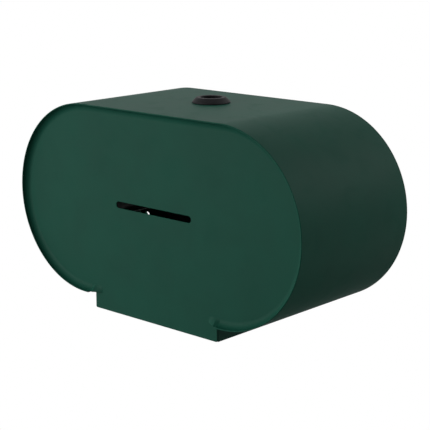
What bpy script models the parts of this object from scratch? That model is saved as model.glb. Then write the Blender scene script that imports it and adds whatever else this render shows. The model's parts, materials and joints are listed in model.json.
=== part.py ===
"""Twin toilet roll dispenser for a wall, with a drop-down cover and a lock on top.

World frame: +Z up, +Y into the wall, the user stands on the -Y side. The origin is the centre
of the wall face, level with the middle of the rounded body. Lengths are in metres.
"""
import math

import bmesh
import bpy
from mathutils import Matrix, Vector

MM = 0.001

# Body of the cover: two round lobes joined by flats, seen from the front
BODY_WIDTH = 284.8 * MM
BODY_HEIGHT = 146.2 * MM
BODY_DEPTH = 121.7 * MM
COVER_SHEET = 1.0 * MM
COVER_WALL_GAP = 1.0 * MM
LOBE_STEPS = 32

# Clearances shared by all pieces
SEAT_GAP = 0.3 * MM
RUNNING_GAP = 0.3 * MM
CUT_OVERRUN = 5.0 * MM

# Front panel: dished into the body, with an apron below and a slot to see the paper through
PANEL_RECESS = 5.0 * MM
PANEL_SHEET = 1.0 * MM
COVE_RADIUS = 2.8 * MM
COVE_STEPS = 5
APRON_DROP = 11.95 * MM
APRON_CORNER = 1.2 * MM
SLOT_WIDTH = 76.5 * MM
SLOT_HEIGHT = 5.0 * MM
SLOT_RISE = -0.1 * MM

# Outlet lips: the ends of the cover's sheet, turned down beside the outlet
LIP_BEND = 3.4 * MM
LIP_SETBACK = 2.8 * MM
LIP_STEPS = 6
LIP_RELIEF = 0.4 * MM

# Back plate: a pressed tray that is screwed to the wall
PLATE_SHEET = 1.5 * MM
PLATE_STANDOFF = 6.7 * MM
PLATE_BEND = 2.5 * MM
PLATE_BEND_STEPS = 3
PLATE_CLEARANCE = 2.9 * MM
PLATE_DROP = 52.0 * MM
TONGUE_LIFT = 0.3 * MM
PAD_WIDTH = 48.0 * MM
PAD_TOP = 38.0 * MM
PAD_BOTTOM = -44.0 * MM
PAD_CORNER = 7.0 * MM
PAD_DRAFT = 1.6 * MM
CORNER_HOLE_RADIUS = 3.2 * MM
CORNER_HOLE_ANGLE = 39.5
CORNER_HOLE_EDGE = 6.4 * MM
SCREW_SLOT_WIDTH = 5.6 * MM
SCREW_SLOT_LENGTH = 14.0 * MM
SCREW_SLOT_INSET = 14.0 * MM

# Hinge: pins in two brackets beside the outlet
HINGE_FROM_WALL = 28.5 * MM
HINGE_LIFT = 4.6 * MM
PIN_RADIUS = 2.0 * MM
PIN_HEAD_RADIUS = 3.6 * MM
PIN_HEAD = 1.5 * MM
WASHER_RADIUS = 5.0 * MM
WASHER_THICKNESS = 1.2 * MM
BRACKET_SHEET = 2.0 * MM
BRACKET_FOOT = 17.0 * MM
BRACKET_HEIGHT = 31.0 * MM
BRACKET_NOSE = 6.0 * MM
STOP_REACH = 8.0 * MM
STOP_HEIGHT = 6.0 * MM
STOP_RISE = 17.0 * MM

# Rivets
RIVET_RADIUS = 2.0 * MM
RIVET_HEAD_RADIUS = 3.6 * MM
RIVET_HEAD = 1.3 * MM
RIVET_STEPS = 16

# Lock in the top of the cover
LOCK_FROM_WALL = 53.5 * MM
BEZEL_RADIUS = 14.4 * MM
BEZEL_TOP_RADIUS = 11.0 * MM
BEZEL_HEIGHT = 4.4 * MM
BEZEL_FOOT = 0.8 * MM
BEZEL_STEPS = 5
BEZEL_CURVE = 1.3
KEY_WELL_RADIUS = 8.2 * MM
BARREL_WALL = 1.3 * MM
BARREL_LENGTH = 15.0 * MM
BARREL_LIP = 1.5 * MM
BARREL_LIP_INSET = 2.0 * MM
PLUG_TOP = 0.2 * MM
KEY_GROOVE_DEPTH = 3.0 * MM
KEY_GROOVE_RADIUS = 5.2 * MM
KEY_POST_RADIUS = 2.2 * MM
KEY_NOTCH_WIDTH = 2.6 * MM
KEY_NOTCH_RADIUS = 6.9 * MM
DOUBLER_SHEET = 2.0 * MM
DOUBLER_WIDTH = 44.0 * MM
DOUBLER_LENGTH = 36.0 * MM
DOUBLER_CORNER = 4.0 * MM
NUT_FLATS = 22.0 * MM
NUT_THICKNESS = 5.0 * MM
CAM_LENGTH = 25.0 * MM
CAM_WIDTH = 10.0 * MM
CAM_THICKNESS = 2.2 * MM
CAM_SCREW_RADIUS = 1.8 * MM
CAM_SCREW_HEAD_RADIUS = 3.6 * MM
CAM_SCREW_HEAD = 2.4 * MM
CAM_SCREW_GRIP = 8.0 * MM

# Catch: a bent strip on the back plate that the cam turns behind
CATCH_SHEET = 2.0 * MM
CATCH_WIDTH = 48.0 * MM
CATCH_HEIGHT = 12.0 * MM
CATCH_MOUTH = 28.0 * MM
CATCH_CLEARANCE = 0.8 * MM
CATCH_BEND = 3.0 * MM
CATCH_RIVET_SPACING = 26.0 * MM

# Roll hubs on fixed axles
AXLE_RADIUS = 4.0 * MM
AXLE_COLLAR_RADIUS = 9.0 * MM
AXLE_COLLAR = 2.5 * MM
AXLE_TAIL = 4.0 * MM
AXLE_NUT_FLATS = 13.0 * MM
AXLE_NUT = 3.0 * MM
AXLE_STEPS = 24
SPRING_INNER_RADIUS = 5.2 * MM
SPRING_OUTER_RADIUS = 8.6 * MM
SPRING_SHEET = 0.5 * MM
SPRING_WAVE = 0.5 * MM
SPRING_WAVES = 3
SPRING_STEPS = 36
HUB_PLATE_GAP = 0.8 * MM
HUB_DISC_RADIUS = 40.0 * MM
HUB_DISC = 3.0 * MM
HUB_RADIUS = 17.0 * MM
HUB_NOSE_RADIUS = 16.2 * MM
HUB_WALL = 2.2 * MM
HUB_SLEEVE_WALL = 2.6 * MM
HUB_WEB = 2.5 * MM
HUB_FRONT_CLEARANCE = 11.0 * MM
HUB_STEPS = 40
FIN_COUNT = 4
FIN_REACH = 2.6 * MM
FIN_WIDTH = 2.4 * MM
FIN_RAMP = 14.0 * MM
FIN_NOSE_SETBACK = 6.0 * MM
CAP_WELL = 4.0 * MM
CAP_LIP = 2.4 * MM
CAP_CROWN = 1.2 * MM
CLIP_RADIUS = 6.4 * MM
CLIP_SHEET = 0.8 * MM

# Smallest details of the round pieces
ROUND_STEPS = 32
SMALL_STEPS = 20
HEX_SIDES = 6
MERGE_DISTANCE = 0.00001

# Places worked out from the sizes above
LOBE_RADIUS = BODY_HEIGHT / 2
LOBE_X = (BODY_WIDTH - BODY_HEIGHT) / 2
FRONT_Y = -BODY_DEPTH
COVER_BACK_Y = -COVER_WALL_GAP
INNER_RADIUS = LOBE_RADIUS - COVER_SHEET
PANEL_Y = FRONT_Y + PANEL_RECESS
PANEL_BACK_Y = PANEL_Y + PANEL_SHEET
APRON_BOTTOM_Z = -LOBE_RADIUS - APRON_DROP
RIM_END_X = LOBE_X - LIP_SETBACK
LIP_X = RIM_END_X - LIP_BEND
PLATE_Y = -PLATE_STANDOFF
PLATE_BACK_Y = PLATE_Y + PLATE_SHEET
PLATE_RADIUS = INNER_RADIUS - PLATE_CLEARANCE
HINGE_Y = -HINGE_FROM_WALL
HINGE_Z = APRON_BOTTOM_Z + HINGE_LIFT
LIP_INNER_X = LIP_X - COVER_SHEET
WASHER_X = LIP_INNER_X - SEAT_GAP - WASHER_THICKNESS
BRACKET_X = WASHER_X - SEAT_GAP
PIN_HOLE_RADIUS = PIN_RADIUS + RUNNING_GAP
RIVET_HOLE_RADIUS = RIVET_RADIUS + RUNNING_GAP
LOCK_Y = -LOCK_FROM_WALL
BARREL_RADIUS = KEY_WELL_RADIUS + BARREL_WALL
BARREL_HOLE_RADIUS = BARREL_RADIUS + SEAT_GAP
PLUG_RADIUS = KEY_WELL_RADIUS - RUNNING_GAP
STEM_BORE = KEY_WELL_RADIUS - BARREL_LIP_INSET
STEM_RADIUS = STEM_BORE - RUNNING_GAP
CAM_TOP = -BARREL_LENGTH - 2 * RUNNING_GAP
CAM_BOTTOM = CAM_TOP - CAM_THICKNESS
COLLAR_FRONT = PLATE_STANDOFF + SEAT_GAP + AXLE_COLLAR
SLEEVE_START = COLLAR_FRONT + SPRING_SHEET + 2 * SPRING_WAVE + 2 * SEAT_GAP
DISC_START = PLATE_STANDOFF + HUB_PLATE_GAP
HUB_END = BODY_DEPTH - PANEL_RECESS - PANEL_SHEET - HUB_FRONT_CLEARANCE


def clear_scene():
    """Removes whatever the scene holds before the dispenser is built."""
    for old in list(bpy.data.objects):
        bpy.data.objects.remove(old, do_unlink=True)


def make_collection(name):
    """Adds a collection to the scene."""
    made = bpy.data.collections.new(name)
    bpy.context.scene.collection.children.link(made)
    return made


def make_material(name, colour, roughness, metallic):
    """A Principled material in one colour."""
    material = bpy.data.materials.new(name)
    material.use_nodes = True
    shader = material.node_tree.nodes["Principled BSDF"]
    shader.inputs["Base Color"].default_value = (*colour, 1.0)
    shader.inputs["Roughness"].default_value = roughness
    shader.inputs["Metallic"].default_value = metallic
    return material


def make_empty(name, place):
    """An empty that marks a joint's axis and carries what turns about it."""
    empty = bpy.data.objects.new(name, None)
    empty.location = place
    PARTS.objects.link(empty)
    return empty


def add_part(name, data, material, parent=None):
    """Puts mesh or curve data into the scene as a named piece of the dispenser."""
    part = bpy.data.objects.new(name, data)
    data.materials.append(material)
    PARTS.objects.link(part)
    if parent is not None:
        part.parent = parent
        part.location = -parent.location
    return part


def add_cutter(name, data):
    """Puts mesh data into the scene as a tool that only cuts or joins."""
    tool = bpy.data.objects.new(name, data)
    tool.hide_render = True
    tool.display_type = "WIRE"
    CUTTERS.objects.link(tool)
    return tool


def boolean(part, tool, operation="DIFFERENCE"):
    """Cuts the tool out of the part, or joins it on."""
    step = part.modifiers.new(tool.name, "BOOLEAN")
    step.object = tool
    step.operation = operation
    step.solver = "EXACT"


def smooth_mesh(mesh, sharp_angle=math.radians(30)):
    """Shades a mesh smooth and keeps its corners sharp."""
    mesh.shade_smooth()
    mesh.set_sharp_from_angle(angle=sharp_angle)


def flat_curve(name, loops, thickness):
    """A flat outline with its holes, in the local XY plane, as thick as a sheet."""
    curve = bpy.data.curves.new(name, "CURVE")
    curve.dimensions = "2D"
    curve.fill_mode = "BOTH"
    curve.extrude = thickness / 2
    for loop in loops:
        spline = curve.splines.new("POLY")
        spline.points.add(len(loop) - 1)
        for point, (across, up) in zip(spline.points, loop):
            point.co = (across, up, 0, 1)
        spline.use_cyclic_u = True
    return curve


def sheet_mesh(name, loops, thickness, turn, place):
    """A flat sheet as a mesh, turned and moved to where it belongs."""
    holder = bpy.data.objects.new(name + "_outline", flat_curve(name, loops, thickness))
    bpy.context.scene.collection.objects.link(holder)
    graph = bpy.context.evaluated_depsgraph_get()
    mesh = bpy.data.meshes.new_from_object(holder.evaluated_get(graph))
    mesh.name = name
    outline = holder.data
    bpy.data.objects.remove(holder)
    bpy.data.curves.remove(outline)
    mesh.transform(Matrix.Translation(place) @ turn)
    bm = bmesh.new()
    bm.from_mesh(mesh)
    bmesh.ops.remove_doubles(bm, verts=bm.verts, dist=MERGE_DISTANCE)
    bm.to_mesh(mesh)
    bm.free()
    return mesh


FACING_ANGLES = {
    "up": (0, 0, 0),
    "front": (math.radians(90), 0, 0),
    "right": (0, math.radians(90), 0),
    "left": (0, math.radians(-90), 0),
}
FACING_FRONT = Matrix.Rotation(math.radians(90), 4, "X")
FACING_UP = Matrix.Identity(4)
FACING_SIDE = Matrix.Rotation(math.radians(90), 4, "Z") @ Matrix.Rotation(math.radians(90), 4, "X")


def add_turned(name, profile, material, place, facing="up", steps=ROUND_STEPS, parent=None):
    """A turned piece from its (radius, height) points, whose own Z axis faces the given way."""
    mesh = bpy.data.meshes.new(name)
    points = [(radius, 0, height) for radius, height in profile]
    on_axis = profile[0][0] == 0 and profile[-1][0] == 0
    edges = [(i, i + 1) for i in range(len(points) - 1)]
    if not on_axis:
        edges.append((len(points) - 1, 0))
    mesh.from_pydata(points, edges, [])
    part = add_part(name, mesh, material)
    part.location = place
    part.rotation_euler = FACING_ANGLES[facing]
    if parent is not None:
        part.parent = parent
        part.location = Vector(place) - parent.location
    turn_profile(part, steps)
    return part


def turn_profile(part, steps):
    """Turns the part's profile round its own Z axis."""
    turn = part.modifiers.new("turn", "SCREW")
    turn.angle = math.tau
    turn.steps = steps
    turn.render_steps = steps
    turn.use_merge_vertices = True
    turn.merge_threshold = MERGE_DISTANCE
    turn.use_smooth_shade = True


def cylinder_cutter(name, radius, start, end, steps=SMALL_STEPS):
    """A round tool between two points."""
    start = Vector(start)
    run = Vector(end) - start
    bm = bmesh.new()
    turn = run.to_track_quat("Z", "Y").to_matrix().to_4x4()
    middle = Matrix.Translation(start + run / 2) @ turn
    bmesh.ops.create_cone(bm, cap_ends=True, segments=steps, radius1=radius, radius2=radius,
                          depth=run.length, matrix=middle)
    mesh = bpy.data.meshes.new(name)
    bm.to_mesh(mesh)
    bm.free()
    return add_cutter(name, mesh)


def box_cutter(name, low, high):
    """A box-shaped tool between two corners."""
    low = Vector(low)
    size = Vector(high) - low
    bm = bmesh.new()
    place = Matrix.Translation(low + size / 2) @ Matrix.Diagonal((*size, 1))
    bmesh.ops.create_cube(bm, size=1, matrix=place)
    mesh = bpy.data.meshes.new(name)
    bm.to_mesh(mesh)
    bm.free()
    return add_cutter(name, mesh)


def arc(centre, radius, start, end, steps):
    """Points along an arc, both ends included; angles in degrees, anticlockwise."""
    points = []
    for i in range(steps + 1):
        angle = math.radians(start + (end - start) * i / steps)
        points.append((centre[0] + radius * math.cos(angle), centre[1] + radius * math.sin(angle)))
    return points


def circle(centre, radius, steps=SMALL_STEPS):
    """A full circle of points, anticlockwise."""
    return arc(centre, radius, 0, 360, steps)[:-1]


def stadium(radius, steps=LOBE_STEPS):
    """Two half circles about the lobe centres, anticlockwise from the lower right."""
    right = arc((LOBE_X, 0), radius, -90, 90, steps)
    left = arc((-LOBE_X, 0), radius, 90, 270, steps)
    return right + left


def rounded_box(low, high, radius, steps=4):
    """A rectangle with round corners, anticlockwise."""
    left, bottom = low
    right, top = high
    points = arc((right - radius, bottom + radius), radius, -90, 0, steps)
    points += arc((right - radius, top - radius), radius, 0, 90, steps)
    points += arc((left + radius, top - radius), radius, 90, 180, steps)
    points += arc((left + radius, bottom + radius), radius, 180, 270, steps)
    return points


def round_slot(centre, length, width, steps=8):
    """A slot with round ends, long across."""
    reach = (length - width) / 2
    points = arc((centre[0] + reach, centre[1]), width / 2, -90, 90, steps)
    points += arc((centre[0] - reach, centre[1]), width / 2, 90, 270, steps)
    return points


def loft(name, rings):
    """A closed solid through rings of like points, with a face over each end."""
    bm = bmesh.new()
    rows = [[bm.verts.new(point) for point in ring] for ring in rings]
    for near, far in zip(rows, rows[1:]):
        for i in range(len(near)):
            bm.faces.new((near[i - 1], near[i], far[i], far[i - 1]))
    bm.faces.new(rows[0])
    bm.faces.new(reversed(rows[-1]))
    bmesh.ops.recalc_face_normals(bm, faces=bm.faces)
    mesh = bpy.data.meshes.new(name)
    bm.to_mesh(mesh)
    bm.free()
    return mesh


def upright_ring(outline, y):
    """An outline of (x, z) points stood up at a distance from the wall."""
    return [(x, y, z) for x, z in outline]


def from_lobes(point, radius, y):
    """The point at a radius from the line between the lobe centres, out past the given point."""
    middle_x = max(-LOBE_X, min(LOBE_X, point.x))
    out = Vector((point.x - middle_x, 0, point.z)).normalized()
    return Vector((middle_x, y, 0)) + out * radius


def cover_path():
    """The outer line of the cover's sheet, from the left lip over the top to the right lip."""
    right = [(LIP_X, APRON_BOTTOM_Z)]
    right += arc((RIM_END_X, -LOBE_RADIUS - LIP_BEND), LIP_BEND, 180, 90, LIP_STEPS)
    right += arc((LOBE_X, 0), LOBE_RADIUS, -90, 90, LOBE_STEPS)
    left = [(-x, z) for x, z in reversed(right)]
    return right + left


def build_cover_wrap():
    """The bent sheet round the cover: an open strip given its thickness, then cut."""
    bm = bmesh.new()
    line = [bm.verts.new((x, FRONT_Y, z)) for x, z in cover_path()]
    edges = [bm.edges.new(pair) for pair in zip(line, line[1:])]
    swept = bmesh.ops.extrude_edge_only(bm, edges=edges)["geom"]
    moved = [item for item in swept if isinstance(item, bmesh.types.BMVert)]
    bmesh.ops.translate(bm, verts=moved, vec=(0, COVER_BACK_Y - FRONT_Y, 0))
    bmesh.ops.recalc_face_normals(bm, faces=bm.faces)
    mesh = bpy.data.meshes.new("cover_wrap")
    bm.to_mesh(mesh)
    bm.free()
    smooth_mesh(mesh)
    wrap = add_part("cover_wrap", mesh, GREEN_COAT, COVER_AXIS)
    wall = wrap.modifiers.new("sheet", "SOLIDIFY")
    wall.thickness = COVER_SHEET
    wall.offset = -1
    wall.use_even_offset = True
    relief_x = RIM_END_X + LIP_RELIEF
    relief_low = (-relief_x, FRONT_Y - CUT_OVERRUN, APRON_BOTTOM_Z - CUT_OVERRUN)
    relief_high = (relief_x, PANEL_BACK_Y + SEAT_GAP, -INNER_RADIUS + CUT_OVERRUN)
    boolean(wrap, box_cutter("lip_relief", relief_low, relief_high))
    boolean(wrap, cylinder_cutter("lock_hole", BARREL_HOLE_RADIUS, (0, LOCK_Y, INNER_RADIUS - CUT_OVERRUN),
                                  (0, LOCK_Y, LOBE_RADIUS + CUT_OVERRUN), ROUND_STEPS))
    boolean(wrap, cylinder_cutter("pin_holes", PIN_HOLE_RADIUS, (-LIP_X - CUT_OVERRUN, HINGE_Y, HINGE_Z),
                                  (LIP_X + CUT_OVERRUN, HINGE_Y, HINGE_Z)))


def build_front_panel():
    """The dished front: a flat with its apron, and a cove swept up to the rim round it."""
    flat_radius = INNER_RADIUS - SEAT_GAP - PANEL_SHEET - COVE_RADIUS
    right = arc((LOBE_X, 0), flat_radius, -90, 90, LOBE_STEPS)
    right.insert(0, (LIP_X, -flat_radius))
    edge = right + [(-x, z) for x, z in reversed(right)]
    apron = arc((-LIP_X + APRON_CORNER, APRON_BOTTOM_Z + APRON_CORNER), APRON_CORNER, 180, 270, 3)
    apron += [(-x, z) for x, z in reversed(apron)]
    bm = bmesh.new()
    verts = [bm.verts.new((x, PANEL_Y, z)) for x, z in edge + apron]
    bm.faces.new(verts)
    rim = [bm.edges.get(pair) for pair in zip(verts[:len(edge)], verts[1:len(edge)])]
    for i in range(1, COVE_STEPS + 2):
        angle = math.radians(90) * min(i, COVE_STEPS) / COVE_STEPS
        radius = flat_radius + COVE_RADIUS * math.sin(angle)
        y = PANEL_Y - COVE_RADIUS * (1 - math.cos(angle))
        if i > COVE_STEPS:
            y = FRONT_Y
        swept = bmesh.ops.extrude_edge_only(bm, edges=rim)["geom"]
        raised = {item for item in swept if isinstance(item, bmesh.types.BMVert)}
        for vert in raised:
            vert.co = from_lobes(vert.co, radius, y)
        rim = [item for item in swept if isinstance(item, bmesh.types.BMEdge) and set(item.verts) <= raised]
    bmesh.ops.recalc_face_normals(bm, faces=bm.faces)
    flat = max(bm.faces, key=lambda face: face.calc_area())
    if flat.normal.y > 0:
        bmesh.ops.reverse_faces(bm, faces=bm.faces)
    mesh = bpy.data.meshes.new("front_panel")
    bm.to_mesh(mesh)
    bm.free()
    smooth_mesh(mesh)
    panel = add_part("front_panel", mesh, GREEN_COAT, COVER_AXIS)
    wall = panel.modifiers.new("sheet", "SOLIDIFY")
    wall.thickness = PANEL_SHEET
    wall.offset = -1
    wall.use_even_offset = True
    slot = sheet_mesh("viewing_slot", [round_slot((0, SLOT_RISE), SLOT_WIDTH, SLOT_HEIGHT)],
                      PANEL_SHEET + 2 * CUT_OVERRUN, FACING_FRONT, (0, PANEL_Y, 0))
    boolean(panel, add_cutter("viewing_slot", slot))


def tray_rings(inset, back_y):
    """Rings of the pressed tray's surface, from the wall forward round its bent edge."""
    radius = PLATE_RADIUS - inset
    bend = PLATE_BEND - inset
    floor_y = PLATE_Y + inset
    rings = [upright_ring(stadium(radius), back_y)]
    for i in range(PLATE_BEND_STEPS + 1):
        angle = math.radians(90) * i / PLATE_BEND_STEPS
        ring_radius = radius - bend * (1 - math.cos(angle))
        rings.append(upright_ring(stadium(ring_radius), floor_y + bend * (1 - math.sin(angle))))
    return rings


def pad_outline(inset):
    """The outline of the pad that is pressed back to the wall."""
    half = PAD_WIDTH / 2 - inset
    return rounded_box((-half, PAD_BOTTOM + inset), (half, PAD_TOP - inset), PAD_CORNER - inset)


def build_back_plate():
    """The pressed tray on the wall, with a tongue behind the outlet that carries the hinge."""
    plate = add_part("back_plate", loft("back_plate", tray_rings(0, 0)), GREEN_COAT)
    cavity = add_cutter("tray_cavity", loft("tray_cavity", tray_rings(PLATE_SHEET, CUT_OVERRUN)))
    rings = [upright_ring(pad_outline(0), PLATE_Y), upright_ring(pad_outline(PAD_DRAFT), 0),
             upright_ring(pad_outline(PAD_DRAFT), 2 * CUT_OVERRUN)]
    boolean(cavity, add_cutter("pad", loft("pad", rings)))
    boolean(plate, cavity)
    mouth = upright_ring(pad_outline(PLATE_SHEET), PLATE_Y)
    rings = [[(x, y - CUT_OVERRUN, z) for x, y, z in mouth], mouth,
             upright_ring(pad_outline(PLATE_SHEET + PAD_DRAFT), -PLATE_SHEET)]
    boolean(plate, add_cutter("pad_pocket", loft("pad_pocket", rings)))
    below = APRON_BOTTOM_Z - CUT_OVERRUN
    boolean(plate, box_cutter("lower_trim", (-BODY_WIDTH, -BODY_DEPTH, below),
                              (BODY_WIDTH, BODY_DEPTH, -PLATE_DROP)))
    tongue_low = APRON_BOTTOM_Z + TONGUE_LIFT
    tongue_high = -PLATE_DROP + PLATE_STANDOFF
    tongue = [(-BRACKET_X, tongue_low), (BRACKET_X, tongue_low), (BRACKET_X, tongue_high),
              (-BRACKET_X, tongue_high)]
    mesh = sheet_mesh("tongue", [tongue], PLATE_SHEET, FACING_FRONT, (0, (PLATE_Y + PLATE_BACK_Y) / 2, 0))
    boolean(plate, add_cutter("tongue", mesh), "UNION")
    drill_back_plate(plate)


def drill_back_plate(plate):
    """Screw slots and corner holes for the wall screws, and holes for the axles and rivets."""
    front = PLATE_Y - CUT_OVERRUN
    back = CUT_OVERRUN
    slots = [round_slot((0, PAD_TOP - SCREW_SLOT_INSET), SCREW_SLOT_LENGTH, SCREW_SLOT_WIDTH),
             round_slot((0, PAD_BOTTOM + SCREW_SLOT_INSET), SCREW_SLOT_LENGTH, SCREW_SLOT_WIDTH)]
    tool = sheet_mesh("screw_slots", slots, back - front, FACING_FRONT, (0, (front + back) / 2, 0))
    boolean(plate, add_cutter("screw_slots", tool))
    corner_radius = PLATE_RADIUS - CORNER_HOLE_EDGE
    corner_x = LOBE_X + corner_radius * math.cos(math.radians(CORNER_HOLE_ANGLE))
    corner_z = corner_radius * math.sin(math.radians(CORNER_HOLE_ANGLE))
    holes = []
    for z in (-corner_z, corner_z):
        holes += [(side, "corner", corner_x, z, CORNER_HOLE_RADIUS) for side in (-1, 1)]
    holes += [(side, "axle", LOBE_X, 0, AXLE_RADIUS + RUNNING_GAP) for side in (-1, 1)]
    holes += [(side, "catch_rivet", CATCH_RIVET_SPACING / 2, catch_middle_z(), RIVET_HOLE_RADIUS)
              for side in (-1, 1)]
    for z in bracket_rivet_heights():
        holes += [(side, "bracket_rivet", bracket_rivet_x(), z, RIVET_HOLE_RADIUS) for side in (-1, 1)]
    for i, (side, label, x, z, radius) in enumerate(holes):
        boolean(plate, cylinder_cutter("%s_hole_%d" % (label, i), radius, (side * x, front, z),
                                       (side * x, back, z)))


def catch_middle_z():
    """The height of the catch: level with the cam of the lock."""
    return LOBE_RADIUS + (CAM_TOP + CAM_BOTTOM) / 2


def bracket_rivet_x():
    """Where the hinge brackets are riveted: the middle of their feet."""
    return BRACKET_X - BRACKET_FOOT / 2


def bracket_rivet_heights():
    """The heights of the two rivets of a hinge bracket."""
    low = APRON_BOTTOM_Z + TONGUE_LIFT
    return (low + BRACKET_HEIGHT / 4, low + 3 * BRACKET_HEIGHT / 4)


def build_catch():
    """A strip bent into a fork, whose tips stand in front of the cam when it is turned."""
    foot_y = PLATE_Y - SEAT_GAP
    tip_back = LOCK_Y - CAM_WIDTH / 2 - CATCH_CLEARANCE
    tip_y = tip_back - CATCH_SHEET
    half = CATCH_WIDTH / 2
    outer = rounded_box((-half, tip_y), (half, foot_y), CATCH_BEND)
    inner = rounded_box((-half + CATCH_SHEET, tip_back), (half - CATCH_SHEET, foot_y - CATCH_SHEET),
                        CATCH_BEND - CATCH_SHEET)
    z = catch_middle_z()
    mesh = sheet_mesh("lock_catch", [outer, inner], CATCH_HEIGHT, FACING_UP, (0, 0, z))
    catch = add_part("lock_catch", mesh, ZINC_STEEL)
    boolean(catch, box_cutter("catch_mouth", (-CATCH_MOUTH / 2, tip_y - CUT_OVERRUN, z - CATCH_HEIGHT),
                              (CATCH_MOUTH / 2, tip_back + CATCH_SHEET, z + CATCH_HEIGHT)))
    for side in (-1, 1):
        x = side * CATCH_RIVET_SPACING / 2
        drill = cylinder_cutter("catch_hole_%d" % side, RIVET_HOLE_RADIUS,
                                (x, foot_y - 2 * CATCH_SHEET, z), (x, foot_y + CATCH_SHEET, z))
        boolean(catch, drill)
    places = [(side * CATCH_RIVET_SPACING / 2, z) for side in (-1, 1)]
    build_rivets(("catch_rivet_left", "catch_rivet_right"), places, CATCH_SHEET)


def build_rivets(names, places, clamped_sheet):
    """Rivets through a clamped sheet and the back plate, with a head on each end."""
    front_face = PLATE_STANDOFF + SEAT_GAP + clamped_sheet
    back_face = PLATE_STANDOFF - PLATE_SHEET
    front_head = front_face + SEAT_GAP
    back_head = back_face - SEAT_GAP
    crown = RIVET_HEAD_RADIUS / 2
    profile = [(0, front_head + RIVET_HEAD), (crown, front_head + RIVET_HEAD),
               (RIVET_HEAD_RADIUS, front_head + RIVET_HEAD / 3), (RIVET_HEAD_RADIUS, front_head),
               (RIVET_RADIUS, front_head), (RIVET_RADIUS, back_head), (RIVET_HEAD_RADIUS, back_head),
               (crown, back_head - RIVET_HEAD), (0, back_head - RIVET_HEAD)]
    for name, (x, z) in zip(names, places):
        add_turned(name, profile, ZINC_STEEL, (x, 0, z), "front", RIVET_STEPS)


def build_bracket(side, label):
    """An angle beside the outlet that carries the hinge pin, with a tab that stops the cover."""
    foot_y = PLATE_Y - SEAT_GAP
    foot_end = BRACKET_X - BRACKET_FOOT
    arm_inner = BRACKET_X - BRACKET_SHEET
    tab_end = BRACKET_X + STOP_REACH
    tab_back = HINGE_Y - (-INNER_RADIUS - HINGE_Z) - SEAT_GAP
    tab_front = tab_back - BRACKET_SHEET
    low = APRON_BOTTOM_Z + TONGUE_LIFT
    high = low + BRACKET_HEIGHT
    outline = [(foot_end, foot_y), (foot_end, foot_y - BRACKET_SHEET), (arm_inner, foot_y - BRACKET_SHEET),
               (arm_inner, tab_front), (tab_end, tab_front), (tab_end, tab_back), (BRACKET_X, tab_back),
               (BRACKET_X, foot_y)]
    outline = [(side * x, y) for x, y in outline]
    name = "hinge_bracket_" + label
    mesh = sheet_mesh(name, [outline], BRACKET_HEIGHT, FACING_UP, (0, 0, (low + high) / 2))
    bracket = add_part(name, mesh, ZINC_STEEL)
    tab_low = HINGE_Z + STOP_RISE
    tab_high = tab_low + STOP_HEIGHT
    nose_y = HINGE_Y - BRACKET_NOSE
    front = tab_front - CUT_OVERRUN
    below = low - CUT_OVERRUN
    above = high + CUT_OVERRUN
    nose = [(front, below), (nose_y, below), (nose_y, HINGE_Z), (tab_back, tab_low), (front, tab_low)]
    slope = [(front, tab_high), (HINGE_Y, tab_high), (foot_y - 2 * BRACKET_SHEET, high + SEAT_GAP),
             (foot_y - 2 * BRACKET_SHEET, above), (front, above)]
    for cut_name, shape in (("nose_cut_", nose), ("slope_cut_", slope)):
        tool = sheet_mesh(cut_name + label, [shape], 2 * BODY_WIDTH, FACING_SIDE, (0, 0, 0))
        boolean(bracket, add_cutter(cut_name + label, tool))
    drill = cylinder_cutter("bracket_pin_hole_" + label, PIN_HOLE_RADIUS,
                            (side * (arm_inner - CUT_OVERRUN), HINGE_Y, HINGE_Z),
                            (side * (BRACKET_X + CUT_OVERRUN), HINGE_Y, HINGE_Z))
    boolean(bracket, drill)
    rivet_x = side * bracket_rivet_x()
    heights = bracket_rivet_heights()
    for i, z in enumerate(heights):
        drill = cylinder_cutter("bracket_rivet_hole_%s_%d" % (label, i), RIVET_HOLE_RADIUS,
                                (rivet_x, foot_y - 2 * BRACKET_SHEET, z),
                                (rivet_x, foot_y + BRACKET_SHEET, z))
        boolean(bracket, drill)
    names = ("lower_bracket_rivet_" + label, "upper_bracket_rivet_" + label)
    build_rivets(names, [(rivet_x, z) for z in heights], BRACKET_SHEET)


def build_hinge_pin(label):
    """The pin through a bracket and a lip of the cover, and the washer between them."""
    inner_head = BRACKET_X - BRACKET_SHEET - SEAT_GAP
    outer_head = LIP_X + SEAT_GAP
    crown = PIN_HEAD_RADIUS / 2
    pin = [(0, outer_head + PIN_HEAD), (crown, outer_head + PIN_HEAD),
           (PIN_HEAD_RADIUS, outer_head + PIN_HEAD / 2), (PIN_HEAD_RADIUS, outer_head),
           (PIN_RADIUS, outer_head), (PIN_RADIUS, inner_head), (PIN_HEAD_RADIUS, inner_head),
           (PIN_HEAD_RADIUS, inner_head - PIN_HEAD), (0, inner_head - PIN_HEAD)]
    washer_end = WASHER_X + WASHER_THICKNESS
    washer = [(PIN_HOLE_RADIUS, washer_end), (WASHER_RADIUS, washer_end), (WASHER_RADIUS, WASHER_X),
              (PIN_HOLE_RADIUS, WASHER_X)]
    place = (0, HINGE_Y, HINGE_Z)
    add_turned("hinge_pin_" + label, pin, ZINC_STEEL, place, label, SMALL_STEPS)
    add_turned("hinge_washer_" + label, washer, BLACK_PLASTIC, place, label, SMALL_STEPS)


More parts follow.
